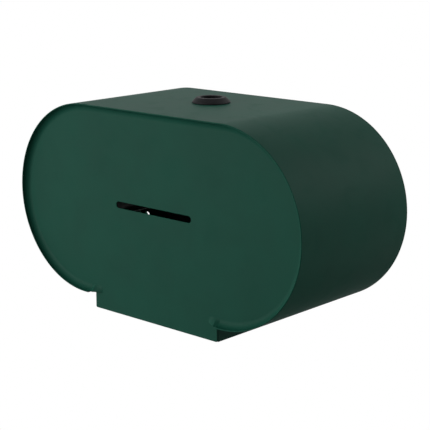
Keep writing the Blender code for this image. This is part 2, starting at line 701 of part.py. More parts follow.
def build_lock():
    """The lock in the top of the cover: body, nut, doubler, and the plug that turns the cam."""
    top = (0, LOCK_Y, LOBE_RADIUS)
    body = [(KEY_WELL_RADIUS, BEZEL_HEIGHT)]
    for i in range(BEZEL_STEPS + 1):
        share = i / BEZEL_STEPS
        radius = BEZEL_TOP_RADIUS + (BEZEL_RADIUS - BEZEL_TOP_RADIUS) * (1 - (1 - share) ** BEZEL_CURVE)
        body.append((radius, BEZEL_HEIGHT - (BEZEL_HEIGHT - BEZEL_FOOT) * share))
    body += [(BEZEL_RADIUS, SEAT_GAP), (BARREL_RADIUS, SEAT_GAP), (BARREL_RADIUS, -BARREL_LENGTH),
             (STEM_BORE, -BARREL_LENGTH), (STEM_BORE, BARREL_LIP - BARREL_LENGTH),
             (KEY_WELL_RADIUS, BARREL_LIP - BARREL_LENGTH)]
    add_turned("lock_body", body, BLACK_PLASTIC, top, parent=COVER_AXIS)
    build_doubler()
    build_lock_nut()
    build_plug(top)
    build_cam()


def build_doubler():
    """The plate under the top sheet that spreads the lock's load."""
    half_width = DOUBLER_WIDTH / 2
    half_length = DOUBLER_LENGTH / 2
    outline = rounded_box((-half_width, -half_length), (half_width, half_length), DOUBLER_CORNER)
    hole = circle((0, 0), BARREL_HOLE_RADIUS)
    place = (0, LOCK_Y, INNER_RADIUS - SEAT_GAP - DOUBLER_SHEET / 2)
    mesh = sheet_mesh("lock_doubler", [outline, hole], DOUBLER_SHEET, FACING_UP, place)
    add_part("lock_doubler", mesh, ZINC_STEEL, COVER_AXIS)


def build_lock_nut():
    """The six-sided nut that clamps the lock's body."""
    corner = NUT_FLATS / 2 / math.cos(math.pi / HEX_SIDES)
    outline = circle((0, 0), corner, HEX_SIDES)
    hole = circle((0, 0), BARREL_HOLE_RADIUS)
    top = INNER_RADIUS - 2 * SEAT_GAP - DOUBLER_SHEET
    place = (0, LOCK_Y, top - NUT_THICKNESS / 2)
    mesh = sheet_mesh("lock_nut", [outline, hole], NUT_THICKNESS, FACING_UP, place)
    add_part("lock_nut", mesh, ZINC_STEEL, COVER_AXIS)


def build_plug(top):
    """The plug that the key turns, with a groove, a post and two notches for the key."""
    shoulder = BARREL_LIP - BARREL_LENGTH + RUNNING_GAP
    groove = PLUG_TOP - KEY_GROOVE_DEPTH
    end = -BARREL_LENGTH - RUNNING_GAP
    thread = CAM_SCREW_RADIUS + RUNNING_GAP
    bore_top = CAM_TOP + CAM_SCREW_GRIP
    profile = [(0, PLUG_TOP), (KEY_POST_RADIUS, PLUG_TOP), (KEY_POST_RADIUS, groove),
               (KEY_GROOVE_RADIUS, groove), (KEY_GROOVE_RADIUS, PLUG_TOP), (PLUG_RADIUS, PLUG_TOP),
               (PLUG_RADIUS, shoulder), (STEM_RADIUS, shoulder), (STEM_RADIUS, end), (thread, end),
               (thread, bore_top), (0, bore_top)]
    plug = add_turned("lock_plug", profile, BLACK_PLASTIC, top, parent=LOCK_AXIS)
    low_z = LOBE_RADIUS + groove
    high_z = LOBE_RADIUS + PLUG_TOP + CUT_OVERRUN
    half = KEY_NOTCH_WIDTH / 2
    for side in (-1, 1):
        edges = sorted((side * (KEY_GROOVE_RADIUS - half), side * KEY_NOTCH_RADIUS))
        boolean(plug, box_cutter("key_notch_%d" % side, (edges[0], LOCK_Y - half, low_z),
                                 (edges[1], LOCK_Y + half, high_z)))


def build_cam():
    """The bar under the plug and its screw; it points back to the wall when the lock is open."""
    middle_reach = (CAM_LENGTH - CAM_WIDTH) / 2
    bar = [(-y, x) for x, y in round_slot((middle_reach, 0), CAM_LENGTH, CAM_WIDTH)]
    hole = circle((0, 0), CAM_SCREW_RADIUS + SEAT_GAP)
    middle = LOBE_RADIUS + (CAM_TOP + CAM_BOTTOM) / 2
    mesh = sheet_mesh("lock_cam", [bar, hole], CAM_THICKNESS, FACING_UP, (0, LOCK_Y, middle))
    add_part("lock_cam", mesh, ZINC_STEEL, LOCK_AXIS)
    head_top = CAM_BOTTOM - SEAT_GAP
    thread_top = CAM_TOP + CAM_SCREW_GRIP - SEAT_GAP
    head_low = head_top - CAM_SCREW_HEAD
    profile = [(0, thread_top), (CAM_SCREW_RADIUS, thread_top), (CAM_SCREW_RADIUS, head_top),
               (CAM_SCREW_HEAD_RADIUS, head_top), (CAM_SCREW_HEAD_RADIUS, (head_top + head_low) / 2),
               (CAM_SCREW_HEAD_RADIUS / 2, head_low), (0, head_low)]
    top = (0, LOCK_Y, LOBE_RADIUS)
    add_turned("cam_screw", profile, ZINC_STEEL, top, steps=SMALL_STEPS, parent=LOCK_AXIS)


def build_axle(side, label):
    """A fixed axle through the back plate, with its nut, clip and brake spring."""
    place = (side * LOBE_X, 0, 0)
    collar_low = PLATE_STANDOFF + SEAT_GAP
    collar_top = COLLAR_FRONT
    tail = PLATE_STANDOFF - PLATE_SHEET - AXLE_TAIL
    web_top = HUB_END - CAP_WELL
    end = web_top + 2 * SEAT_GAP + CLIP_SHEET
    axle = [(0, end), (AXLE_RADIUS - SEAT_GAP, end), (AXLE_RADIUS, end - SEAT_GAP),
            (AXLE_RADIUS, collar_top), (AXLE_COLLAR_RADIUS, collar_top), (AXLE_COLLAR_RADIUS, collar_low),
            (AXLE_RADIUS, collar_low), (AXLE_RADIUS, tail), (0, tail)]
    add_turned("axle_" + label, axle, ZINC_STEEL, place, "front", AXLE_STEPS)
    corner = AXLE_NUT_FLATS / 2 / math.cos(math.pi / HEX_SIDES)
    outline = circle((side * LOBE_X, 0), corner, HEX_SIDES)
    hole = circle((side * LOBE_X, 0), AXLE_RADIUS + RUNNING_GAP)
    nut_y = PLATE_BACK_Y + SEAT_GAP + AXLE_NUT / 2
    mesh = sheet_mesh("axle_nut_" + label, [outline, hole], AXLE_NUT, FACING_FRONT, (0, nut_y, 0))
    add_part("axle_nut_" + label, mesh, ZINC_STEEL)
    clip_low = web_top + SEAT_GAP
    clip = [(AXLE_RADIUS + SEAT_GAP, clip_low + CLIP_SHEET), (CLIP_RADIUS, clip_low + CLIP_SHEET),
            (CLIP_RADIUS, clip_low), (AXLE_RADIUS + SEAT_GAP, clip_low)]
    add_turned("axle_clip_" + label, clip, ZINC_STEEL, place, "front", SMALL_STEPS)
    build_brake_spring(label, place, collar_top + SEAT_GAP)


def build_brake_spring(label, place, low):
    """A wavy ring that presses on the hub, so that the roll does not run on."""
    middle = low + SPRING_WAVE + SPRING_SHEET / 2
    half = SPRING_SHEET / 2
    bm = bmesh.new()
    corners = [(SPRING_OUTER_RADIUS, half), (SPRING_OUTER_RADIUS, -half), (SPRING_INNER_RADIUS, -half),
               (SPRING_INNER_RADIUS, half)]
    verts = [bm.verts.new((radius, 0, height)) for radius, height in corners]
    edges = [bm.edges.new((verts[i - 1], verts[i])) for i in range(len(verts))]
    bmesh.ops.spin(bm, geom=verts + edges, cent=(0, 0, 0), axis=(0, 0, 1), angle=math.tau,
                   steps=SPRING_STEPS, use_merge=True)
    for vert in bm.verts:
        turn = math.atan2(vert.co.y, vert.co.x)
        vert.co.z += middle + SPRING_WAVE * math.cos(SPRING_WAVES * turn)
    bmesh.ops.recalc_face_normals(bm, faces=bm.faces)
    mesh = bpy.data.meshes.new("brake_spring_" + label)
    bm.to_mesh(mesh)
    bm.free()
    smooth_mesh(mesh)
    spring = add_part("brake_spring_" + label, mesh, SPRING_STEEL)
    spring.location = place
    spring.rotation_euler = (math.radians(90), 0, 0)


def hub_profile():
    """Radii and distances from the wall round the hub's section, nose first, outer side down."""
    bore = AXLE_RADIUS + RUNNING_GAP
    sleeve = bore + HUB_SLEEVE_WALL
    inside = HUB_RADIUS - HUB_WALL
    well = HUB_NOSE_RADIUS - HUB_WALL
    disc_front = DISC_START + HUB_DISC
    web_top = HUB_END - CAP_WELL
    web_low = web_top - HUB_WEB
    bevel = HUB_DISC / 3
    return [(HUB_NOSE_RADIUS, HUB_END), (HUB_RADIUS, disc_front), (HUB_DISC_RADIUS - bevel, disc_front),
            (HUB_DISC_RADIUS, disc_front - bevel), (HUB_DISC_RADIUS, DISC_START), (inside, DISC_START),
            (inside, web_low), (sleeve, web_low), (sleeve, SLEEVE_START), (bore, SLEEVE_START),
            (bore, web_top), (well, web_top), (well, HUB_END)]


def fin_set(name):
    """The ribs along the hub that grip a roll's core, sloped at the nose."""
    root = HUB_NOSE_RADIUS - HUB_WALL / 2
    tip = HUB_RADIUS + FIN_REACH
    low = DISC_START + HUB_DISC / 2
    high = HUB_END - FIN_NOSE_SETBACK
    outline = [(root, low), (tip, low), (tip, high - FIN_RAMP), (root, high)]
    fin = sheet_mesh(name, [outline], FIN_WIDTH, Matrix.Rotation(math.radians(90), 4, "X"), (0, 0, 0))
    bm = bmesh.new()
    for i in range(FIN_COUNT):
        start = len(bm.verts)
        bm.from_mesh(fin)
        bm.verts.ensure_lookup_table()
        turn = Matrix.Rotation(math.tau * (i + 0.5) / FIN_COUNT, 3, "Z")
        bmesh.ops.rotate(bm, verts=bm.verts[start:], cent=(0, 0, 0), matrix=turn)
    bm.to_mesh(fin)
    bm.free()
    return fin


def build_hub(side, label):
    """The plastic hub that a roll sits on, and the cap in its nose."""
    place = (side * LOBE_X, 0, 0)
    hub = add_turned("roll_hub_" + label, hub_profile(), GREY_PLASTIC, place, "front", HUB_STEPS)
    fins = add_cutter("fins_" + label, fin_set("fins_" + label))
    fins.location = place
    fins.rotation_euler = (math.radians(90), 0, 0)
    boolean(hub, fins, "UNION")
    well = HUB_NOSE_RADIUS - HUB_WALL - SEAT_GAP
    top = HUB_END + CAP_CROWN
    low = HUB_END - CAP_LIP
    profile = [(0, top), (well / 2, HUB_END + CAP_CROWN * 3 / 4), (well, HUB_END), (well, low), (0, low)]
    add_turned("hub_cap_" + label, profile, GREY_PLASTIC, place, "front", ROUND_STEPS)


clear_scene()
PARTS = make_collection("twin_toilet_roll_dispenser")
CUTTERS = make_collection("cutters")
GREEN_COAT = make_material("green_powder_coat", (0.013, 0.062, 0.045), 0.42, 0.0)
BLACK_PLASTIC = make_material("black_plastic", (0.012, 0.012, 0.013), 0.35, 0.0)
GREY_PLASTIC = make_material("dark_grey_plastic", (0.03, 0.032, 0.033), 0.5, 0.0)
ZINC_STEEL = make_material("zinc_plated_steel", (0.55, 0.56, 0.55), 0.38, 1.0)
SPRING_STEEL = make_material("spring_steel", (0.32, 0.33, 0.35), 0.3, 1.0)
COVER_AXIS = make_empty("cover_hinge_axis", Vector((0, HINGE_Y, HINGE_Z)))
LOCK_AXIS = make_empty("lock_axis", Vector((0, LOCK_Y, LOBE_RADIUS)))
bpy.context.view_layer.update()

build_back_plate()
build_catch()
for body_side, side_label in ((-1, "left"), (1, "right")):
    build_bracket(body_side, side_label)
    build_hinge_pin(side_label)
    build_axle(body_side, side_label)
    build_hub(body_side, side_label)
build_cover_wrap()
build_front_panel()
build_lock()
bpy.context.view_layer.update()
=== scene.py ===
"""Dresses the twin toilet roll dispenser: smooth surfaces, finishes, a plain studio and the camera."""

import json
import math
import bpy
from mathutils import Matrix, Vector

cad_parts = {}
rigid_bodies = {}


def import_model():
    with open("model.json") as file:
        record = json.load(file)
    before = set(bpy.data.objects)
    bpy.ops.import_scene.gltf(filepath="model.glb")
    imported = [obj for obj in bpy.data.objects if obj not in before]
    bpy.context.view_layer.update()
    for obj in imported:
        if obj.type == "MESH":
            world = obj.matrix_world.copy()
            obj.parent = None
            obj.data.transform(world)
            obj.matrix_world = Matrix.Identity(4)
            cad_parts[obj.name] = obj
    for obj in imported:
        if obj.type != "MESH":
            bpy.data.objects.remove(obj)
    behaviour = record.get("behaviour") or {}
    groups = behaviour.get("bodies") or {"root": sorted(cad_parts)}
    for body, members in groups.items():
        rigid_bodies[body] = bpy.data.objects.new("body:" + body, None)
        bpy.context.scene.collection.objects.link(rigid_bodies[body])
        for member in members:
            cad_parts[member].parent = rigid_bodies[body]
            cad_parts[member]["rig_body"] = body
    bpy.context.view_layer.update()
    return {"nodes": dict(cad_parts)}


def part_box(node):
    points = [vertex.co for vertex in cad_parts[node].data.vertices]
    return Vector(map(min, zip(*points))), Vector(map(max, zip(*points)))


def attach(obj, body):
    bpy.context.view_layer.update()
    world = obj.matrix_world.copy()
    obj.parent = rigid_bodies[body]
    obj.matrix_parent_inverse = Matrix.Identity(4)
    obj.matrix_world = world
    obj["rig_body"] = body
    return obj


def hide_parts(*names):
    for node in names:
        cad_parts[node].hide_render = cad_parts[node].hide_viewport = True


bl_info = {
    "name": "Twin Roll Dispenser",
    "version": (1, 0, 0),
    "blender": (4, 5, 0),
    "location": "View3D > Sidebar > Dispenser",
    "description": "Builds the pieces and finishes of a wall dispenser for two toilet rolls",
    "category": "Object",
}

import bmesh
import bpy
import numpy as np
from mathutils import Matrix, Vector

for leftover in list(bpy.data.objects):
    bpy.data.objects.remove(leftover)
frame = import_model()

MM = 0.001
MICRON = 0.000001
QUARTER_STEPS = 48
EDGE_STEPS = 3
COVE_STEPS = 12
RUN_STEPS = 8
BEND_STEPS = 8
ROUND_STEPS = 128
PRESS_STEPS = 6
SEAT_GAP = 0.2 * MM
RUNNING_GAP = 0.3 * MM
CHAMFER = 0.3 * MM
RUN_OUT_LAP = 0.1 * MM
RUN_OUT_PROUD = 0.03 * MM
CROWN_RISE = 0.03 * MM
CROWN_INSET = 0.005 * MM
LIP_STEP = 0.4 * MM
PAD_INSIDE = 9 * MM
PAD_OUTSIDE = -6 * MM
LOCK_HOLE = 9.8 * MM
PIN = 2 * MM
PIN_HEAD = 1.5 * MM
RIVET_HEAD = 1.3 * MM
PIN_HOLE = 2.3 * MM
AXLE_HOLE = 4.3 * MM
SCREW = 1.8 * MM
SCREW_HOLE = 2.1 * MM
COLLAR_THICKNESS = 2.5 * MM
SHALLOW = 5 * MM
THROUGH = 20 * MM
SIDES = {"left": -1, "right": 1}
STANDING = [0, 2, 1]
LYING = [0, 1, 2]
CROSSWISE = [2, 0, 1]
RIVETS = [name for name in frame["nodes"] if "_rivet_" in name]


def low(node):
    """The lowest corner of a node of the frame."""
    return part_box(node)[0]


def high(node):
    """The highest corner of a node of the frame."""
    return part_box(node)[1]


def middle(node):
    """The middle of a node's box."""
    return (low(node) + high(node)) / 2


def reach(node, axis):
    """How far the two ends of a node lie from 0 along an axis, the near end first."""
    return sorted((abs(low(node)[axis]), abs(high(node)[axis])))


# Places read from the frame
LOBE_RADIUS = high("cover_wrap").z
LOBE_X = high("cover_wrap").x - LOBE_RADIUS
FRONT_Y = low("cover_wrap").y
BACK_Y = high("cover_wrap").y
APRON_Z = low("front_panel").z
PANEL_BACK_Y = high("front_panel").y
RIM_RADIUS = high("front_panel").z
PLATE_Y = low("back_plate").y
PLATE_RADIUS = high("back_plate").z
TONGUE_Z = low("back_plate").z
LOCK = Vector((0, middle("lock_body").y, LOBE_RADIUS))
HINGE = Vector((0, middle("hinge_washer_left").y, middle("hinge_washer_left").z))
BRACKET_FACE_X = low("hinge_washer_right").x


# Outlines: plane points with the unit directions that point out of them

def unit(turn):
    """The unit vectors at angles in radians."""
    return np.c_[np.cos(turn), np.sin(turn)]


def arc(centre, radius, start, end, steps):
    """Points on an arc between two angles in degrees."""
    return np.array(centre) + radius * unit(np.radians(np.linspace(start, end, steps + 1)))


def quarter_turns(steps):
    """The angles of four quarter turns, each with both ends, and the signs of their corners."""
    share = np.linspace(0.0, 1.0, steps + 1)
    turn = ((np.arange(4)[:, None] + share[None, :]) * np.pi / 2).ravel()
    signs = np.repeat(np.array([[1.0, 1.0], [-1.0, 1.0], [-1.0, -1.0], [1.0, -1.0]]), steps + 1, axis=0)
    return turn, signs


def round_outline(half_width, half_height, radius, centre=(0.0, 0.0)):
    """A rectangle with round corners: each corner's centre plus the radius times a unit turn."""
    turn, signs = quarter_turns(QUARTER_STEPS)
    core = signs * np.array([half_width - radius, half_height - radius])
    return np.array(centre) + core + radius * unit(turn), unit(turn)


def circle_outline(radius, centre=(0.0, 0.0)):
    """A circle, with the same count of points as the other outlines."""
    return round_outline(radius, radius, radius, centre)


def hex_outline(flats, centre):
    """A hexagon: half the flats over the cosine of the turn away from a flat's middle."""
    turn, _ = quarter_turns(QUARTER_STEPS)
    away = np.mod(turn, np.pi / 3) - np.pi / 6
    return np.array(centre) + (flats / 2 / np.cos(away))[:, None] * unit(turn), unit(turn)


def rounded_line(points, radius, steps=4, closed=True):
    """Each corner becomes a curve tangent to both of its sides, which takes up no more than
    0.45 of either; the second result is 1 in the middle of a corner and 0 at its ends."""
    points = np.array(points, float)
    before = np.roll(points, 1, axis=0) - points
    after = np.roll(points, -1, axis=0) - points
    length_before = np.maximum(np.linalg.norm(before, axis=1), MICRON)
    length_after = np.maximum(np.linalg.norm(after, axis=1), MICRON)
    before = before / length_before[:, None]
    after = after / length_after[:, None]
    half = np.arccos(np.clip((before * after).sum(axis=1), -1, 1)) / 2
    reach = radius / np.maximum(np.tan(half), 0.01)
    reach = np.minimum(reach, 0.45 * np.minimum(length_before, length_after))[:, None]
    share = np.linspace(0, 1, steps + 1)[None, :, None]
    curve = ((1 - share) ** 2 * (points + before * reach)[:, None]
             + 2 * share * (1 - share) * points[:, None]
             + share ** 2 * (points + after * reach)[:, None])
    bent = (np.abs(np.pi / 2 - half) > 0.1)[:, None]
    mask = np.where(bent, 4 * share[..., 0] * (1 - share[..., 0]), 0.0)
    if closed:
        return curve.reshape(-1, 2), mask.ravel()
    line = np.vstack([points[:1], curve[1:-1].reshape(-1, 2), points[-1:]])
    return line, np.concatenate([[0.0], mask[1:-1].ravel(), [0.0]])


def run_normals(path):
    """Unit normals to the left of an open path, each from the mean of the runs beside it."""
    step = np.diff(path, axis=0)
    step = step / np.maximum(np.linalg.norm(step, axis=1), MICRON)[:, None]
    run = np.vstack([step[:1], step[1:] + step[:-1], step[-1:]])
    run = run / np.maximum(np.linalg.norm(run, axis=1), MICRON)[:, None]
    return np.c_[-run[:, 1], run[:, 0]]


def edge_section(start, end, radius):
    """The rounded edge of a sheet from its start face to its end face: inset and height follow
    a quarter circle off each face. The third result is 1 in the middle of the edge's roundings."""
    turn = np.linspace(0, np.pi / 2, EDGE_STEPS + 1)
    bend = np.sign(end - start) * radius
    inset = radius * np.concatenate([1 - np.sin(turn), 1 - np.cos(turn)])
    height = np.concatenate([start + bend * (1 - np.cos(turn)), end - bend * (1 - np.sin(turn))])
    return inset, height, np.sin(np.concatenate([turn, np.pi / 2 - turn]))


def rim_rows(outline, start, end, radius, side=1.0):
    """Rows round the edge of a sheet with the given outline. Side is -1 for the edge of a hole."""
    points, out = outline
    inset, height, mask = edge_section(start, end, radius)
    return points[None] - side * out[None] * inset[:, None, None], height, mask


def standing_at(rows, height, axes):
    """Plane rows and their heights as 3-D points, in the given order of axes."""
    height = np.broadcast_to(np.asarray(height).reshape(len(rows), -1), rows.shape[:2])
    return np.concatenate([rows, height[..., None]], axis=-1)[..., axes]


def turned(points, place, facing):
    """Points whose axis is Z, turned to face up, front, right or left, then moved to a place."""
    x, y, z = points[..., 0], points[..., 1], points[..., 2]
    axes = {"up": (x, y, z), "front": (x, -z, y), "right": (z, x, y), "left": (-z, -x, y)}
    return np.stack(axes[facing], axis=-1) + np.array(place)


def spun(line, turn):
    """A section of radius and height, or one radius for each turn, carried round the axis."""
    radius = line[:, :-1]
    height = np.broadcast_to(line[:, -1:], (len(line), len(turn)))
    return np.stack([radius * np.cos(turn), radius * np.sin(turn), height], axis=-1)


# Meshes

def fan_volume(corners):
    """Six times the volume under faces given by their corners, each split into a fan."""
    first = corners[:, :1]
    return (first * np.cross(corners[:, 1:-1], corners[:, 2:])).sum()


class Surface:
    """Grids of points gathered into one closed mesh, with a mask that is 1 along its edges."""

    def __init__(self):
        self.points = []
        self.faces = []
        self.mask = []
        self.count = 0

    def add(self, points, mask=None, wrap_rows=False, caps=False):
        """Adds a grid of shape (rows, columns, 3): each cell is a face, the columns join, the
        rows join where they wrap, and the faces are turned so that the volume is more than 0."""
        rows, columns = points.shape[:2]
        i, j = np.meshgrid(np.arange(rows if wrap_rows else rows - 1), np.arange(columns), indexing="ij")
        i, j = i.ravel(), j.ravel()
        down = (i + 1) % rows * columns
        across = (j + 1) % columns
        cells = np.c_[i * columns + j, down + j, down + across, i * columns + across]
        flat = points.reshape(-1, 3)
        ends = [np.arange(columns)[::-1], np.arange((rows - 1) * columns, rows * columns)] if caps else []
        volume = fan_volume(flat[cells]) + sum(fan_volume(flat[end][None]) for end in ends)
        turn = -1 if volume < 0 else 1
        self.faces += (cells[:, ::turn] + self.count).tolist()
        self.faces += [(end[::turn] + self.count).tolist() for end in ends]
        self.points.append(flat)
        mask = np.zeros(rows) if mask is None else mask
        mask = mask[:, None] if mask.ndim == 1 else mask
        self.mask.append(np.broadcast_to(mask, (rows, columns)).ravel())
        self.count += rows * columns
        return self

    def mesh(self, name):
        """The gathered grids as one welded, smooth mesh."""
        mesh = bpy.data.meshes.new(name)
        mesh.from_pydata(np.vstack(self.points), [], self.faces)
        edge = mesh.attributes.new("edge", "FLOAT", "POINT")
        edge.data.foreach_set("value", np.concatenate(self.mask).astype(np.float32))
        bm = bmesh.new()
        bm.from_mesh(mesh)
        bmesh.ops.remove_doubles(bm, verts=bm.verts, dist=MICRON)
        bmesh.ops.dissolve_degenerate(bm, edges=bm.edges, dist=MICRON / 10)
        bm.to_mesh(mesh)
        bm.free()
        return smoothed(mesh)


def smoothed(mesh):
    """Smooth shading, with edges sharper than 40 degrees kept crisp."""
    mesh.shade_smooth()
    mesh.set_sharp_from_angle(angle=math.radians(40))
    return mesh


def carved(mesh, tools, operation="DIFFERENCE"):
    """The mesh with each tool cut out of it, or joined to it."""
    helpers = [bpy.data.objects.new("carved", mesh)]
    bpy.context.scene.collection.objects.link(helpers[0])
    for tool in tools:
        helper = bpy.data.objects.new("tool", tool)
        bpy.context.scene.collection.objects.link(helper)
        helpers.append(helper)
        cut = helpers[0].modifiers.new("cut", "BOOLEAN")
        cut.object = helper
        cut.operation = operation
        cut.solver = "EXACT"
    graph = bpy.context.evaluated_depsgraph_get()
    result = bpy.data.meshes.new_from_object(helpers[0].evaluated_get(graph),
                                             preserve_all_data_layers=True, depsgraph=graph)
    name = mesh.name
    for helper in helpers:
        data = helper.data
        bpy.data.objects.remove(helper)
        bpy.data.meshes.remove(data)
    result.name = name
    return smoothed(result)


def drill(outline, start, end, axes):
    """A straight cutting tool with the section of an outline."""
    rows = np.broadcast_to(outline[0], (2,) + outline[0].shape)
    return Surface().add(standing_at(rows, [start, end], axes), caps=True).mesh("drill")


def strip_points(path, sheet, start, end, axes, radius, start_radius=None):
    """A bent strip: the rounded rectangle of its section, carried along the outer line of the
    path, with the sheet's thickness to the left of the run. The corners at its start may have
    a radius of their own."""
    turn, signs = quarter_turns(EDGE_STEPS)
    start = np.broadcast_to(start, len(path))[:, None]
    end = np.broadcast_to(end, len(path))[:, None]
    near = np.broadcast_to(radius if start_radius is None else start_radius, len(path))[:, None]
    corner = np.where(signs[None, :, 1] > 0, radius, near)
    depth = sheet / 2 + signs[None, :, 0] * (sheet / 2 - corner) + corner * np.cos(turn)
    height = np.where(signs[None, :, 1] > 0, end - corner, start + corner) + corner * np.sin(turn)
    rows = path[:, None] + run_normals(path)[:, None] * depth[..., None]
    points = np.concatenate([rows, height[..., None]], axis=-1)[..., axes]
    return points, np.abs(np.sin(2 * turn)) * (corner > 0.1 * MM)


def add_piece(name, mesh, node, slot):
    """Shows a mesh as a piece that stands for a node of the frame and rides on its body."""
    piece = bpy.data.objects.new(name, mesh)
    bpy.context.scene.collection.objects.link(piece)
    mesh.materials.clear()
    mesh.materials.append(finish_for(slot))
    even = piece.modifiers.new("even shading", "WEIGHTED_NORMAL")
    even.keep_sharp = True
    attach(piece, frame["nodes"][node]["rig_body"])
    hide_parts(node)


def add_turned(name, node, slot, profile, place, facing, corner, closed=False, steps=64, tools=()):
    """Adds a turned piece: its rounded profile of radius and height, carried round the axis, with
    the tools cut out of it."""
    line, mask = rounded_line(profile, corner, closed=closed)
    points = spun(line, np.linspace(0, 2 * np.pi, steps, endpoint=False))
    mesh = Surface().add(turned(points, place, facing), mask, wrap_rows=closed).mesh(node)
    add_piece(name, carved(mesh, tools) if tools else mesh, node, slot)


def add_ring(name, node, slot, bore, place, facing):
    """Adds a flat ring that fills its node outside the bore."""
    near, far = reach(node, 1 if facing == "front" else 0)
    size = high(node).z - place[2]
    profile = [(bore, far), (size, far), (size, near), (bore, near)]
    add_turned(name, node, slot, profile, place, facing, 0.2 * MM, True)


def add_slab(name, node, slot, outline, hole, axes, radius):
    """Adds a flat piece with a hole, as thick as its node along the axis that it stands on: rows
    run round its outer edge, then back round the hole's."""
    start, end = low(node)[axes.index(2)], high(node)[axes.index(2)]
    parts = [rim_rows(outline, start, end, radius), rim_rows(hole, end, start, radius, side=-1.0)]
    rows, height, mask = [np.concatenate(group) for group in zip(*parts)]
    mesh = Surface().add(standing_at(rows, height, axes), mask, wrap_rows=True).mesh(node)
    add_piece(name, mesh, node, slot)


def dress_node(node, slot, edge_radius):
    """Gives a node that stays its finish and small rounded edges, without touching its mesh."""
    piece = frame["nodes"][node]
    piece.data.materials.clear()
    piece.data.materials.append(finish_for(slot))
    weld = piece.modifiers.new("join corners", "WELD")
    weld.merge_threshold = MICRON * 10
    bevel = piece.modifiers.new("rounded edges", "BEVEL")
    bevel.width = edge_radius
    bevel.segments = 2
    bevel.limit_method = "ANGLE"
    bevel.angle_limit = math.radians(35)
    bevel.harden_normals = True


# Finishes

class Value:
    """A number in a finish. Using it in an expression adds the Math nodes that work it out."""

    def __init__(self, finish, socket):
        self.finish = finish
        self.socket = socket

    def __add__(self, other):
        return self.finish.math("ADD", self, other)

    def __sub__(self, other):
        return self.finish.math("SUBTRACT", self, other)

    def __mul__(self, other):
        return self.finish.math("MULTIPLY", self, other)

    __radd__ = __add__
    __rmul__ = __mul__


class Finish:
    """A procedural material or world. Patterns are laid out in Object coordinates, in metres."""

    def __init__(self, name, library=None):
        library = bpy.data.materials if library is None else library
        self.made = library.new(name)
        self.made.use_nodes = True
        self.tree = self.made.node_tree
        self.tree.nodes.clear()
        self.place = self.node("ShaderNodeTexCoord").outputs["Object"]

    def node(self, kind, settings=(), inputs=()):
        """Adds a node: its settings first, then the values or links of its sockets."""
        made = self.tree.nodes.new(kind)
        for name, value in dict(settings).items():
            setattr(made, name, value)
        for key, value in dict(inputs).items():
            source = value.socket if isinstance(value, Value) else value
            if isinstance(source, bpy.types.NodeSocket):
                self.tree.links.new(source, made.inputs[key])
            else:
                made.inputs[key].default_value = source
        return made

    def math(self, operation, first, second):
        """One Math node on two numbers."""
        made = self.node("ShaderNodeMath", {"operation": operation}, {0: first, 1: second})
        return Value(self, made.outputs[0])

    def stretched(self, scale):
        """The place on the piece, stretched."""
        return self.node("ShaderNodeMapping", {}, {"Vector": self.place, "Scale": scale}).outputs[0]

    def grain(self, size, detail=2.0, roughness=0.5, twist=0.0, place=None):
        """Noise whose features are about the given size in metres, from 0 to 1."""
        made = self.node("ShaderNodeTexNoise", {}, {
            "Vector": place or self.place, "Scale": 1.0 / size, "Detail": detail,
            "Roughness": roughness, "Distortion": twist})
        return Value(self, made.outputs["Fac"])

    def cells(self, size):
        """The distance from the middles of cells of the given size in metres."""
        made = self.node("ShaderNodeTexVoronoi", {"feature": "F1"},
                         {"Vector": self.place, "Scale": 1.0 / size})
        return Value(self, made.outputs["Distance"])

    def between(self, value, start, end, bottom=0.0, top=1.0):
        """A smooth rise from bottom to top while the value goes from start to end."""
        made = self.node("ShaderNodeMapRange", {"interpolation_type": "SMOOTHSTEP"}, {
            "Value": value, "From Min": start, "From Max": end, "To Min": bottom, "To Max": top})
        return Value(self, made.outputs["Result"])

    def worn_edge(self):
        """The mask that is 1 along the rounded edges of a piece."""
        made = self.node("ShaderNodeAttribute", {"attribute_name": "edge"})
        return Value(self, made.outputs["Fac"])

    def blend(self, share, first, second):
        """Two colours mixed by a share."""
        made = self.node("ShaderNodeMix", {"data_type": "RGBA"}, {0: share, 6: first, 7: second})
        return made.outputs[2]

    def clouded(self, pattern, colour, dark, pale, start=0.3, end=0.7):
        """A colour that goes from its darker to its paler shade with a pattern."""
        return self.blend(self.between(pattern, start, end), shade(colour, dark), shade(colour, pale))

    def seen(self):
        """Two masks: 1 for rays from the camera, and 1 for those and for rays that a reflection
        or glass sends on."""
        path = self.node("ShaderNodeLightPath").outputs
        kinds = ("Is Camera Ray", "Is Glossy Ray", "Is Transmission Ray")
        camera, glossy, through = [Value(self, path[kind]) for kind in kinds]
        return camera, self.math("MAXIMUM", self.math("MAXIMUM", camera, glossy), through)

    def relief(self, height, depth, below=None):
        """A Bump node that raises the surface by a depth in metres where the height is 1."""
        inputs = {"Height": height, "Distance": depth, "Strength": 1.0}
        if below is not None:
            inputs["Normal"] = below
        return self.node("ShaderNodeBump", {}, inputs).outputs["Normal"]

    def done(self, colour, roughness, normal, constants, paleness=None):
        """Closes the finish with its surface shader, mixed with plain white by the paleness."""
        inputs = {"Base Color": colour, "Roughness": roughness, "Normal": normal, **constants}
        shader = self.node("ShaderNodeBsdfPrincipled", {}, inputs)
        if paleness is not None:
            white = self.node("ShaderNodeEmission")
            shader = self.node("ShaderNodeMixShader", {},
                               {0: paleness, 1: shader.outputs[0], 2: white.outputs[0]})
        self.node("ShaderNodeOutputMaterial", {}, {"Surface": shader.outputs[0]})
        return self.made


def shade(colour, factor):
    """A colour made darker or lighter, with its alpha kept."""
    return tuple(channel * factor for channel in tuple(colour)[:3]) + (1.0,)


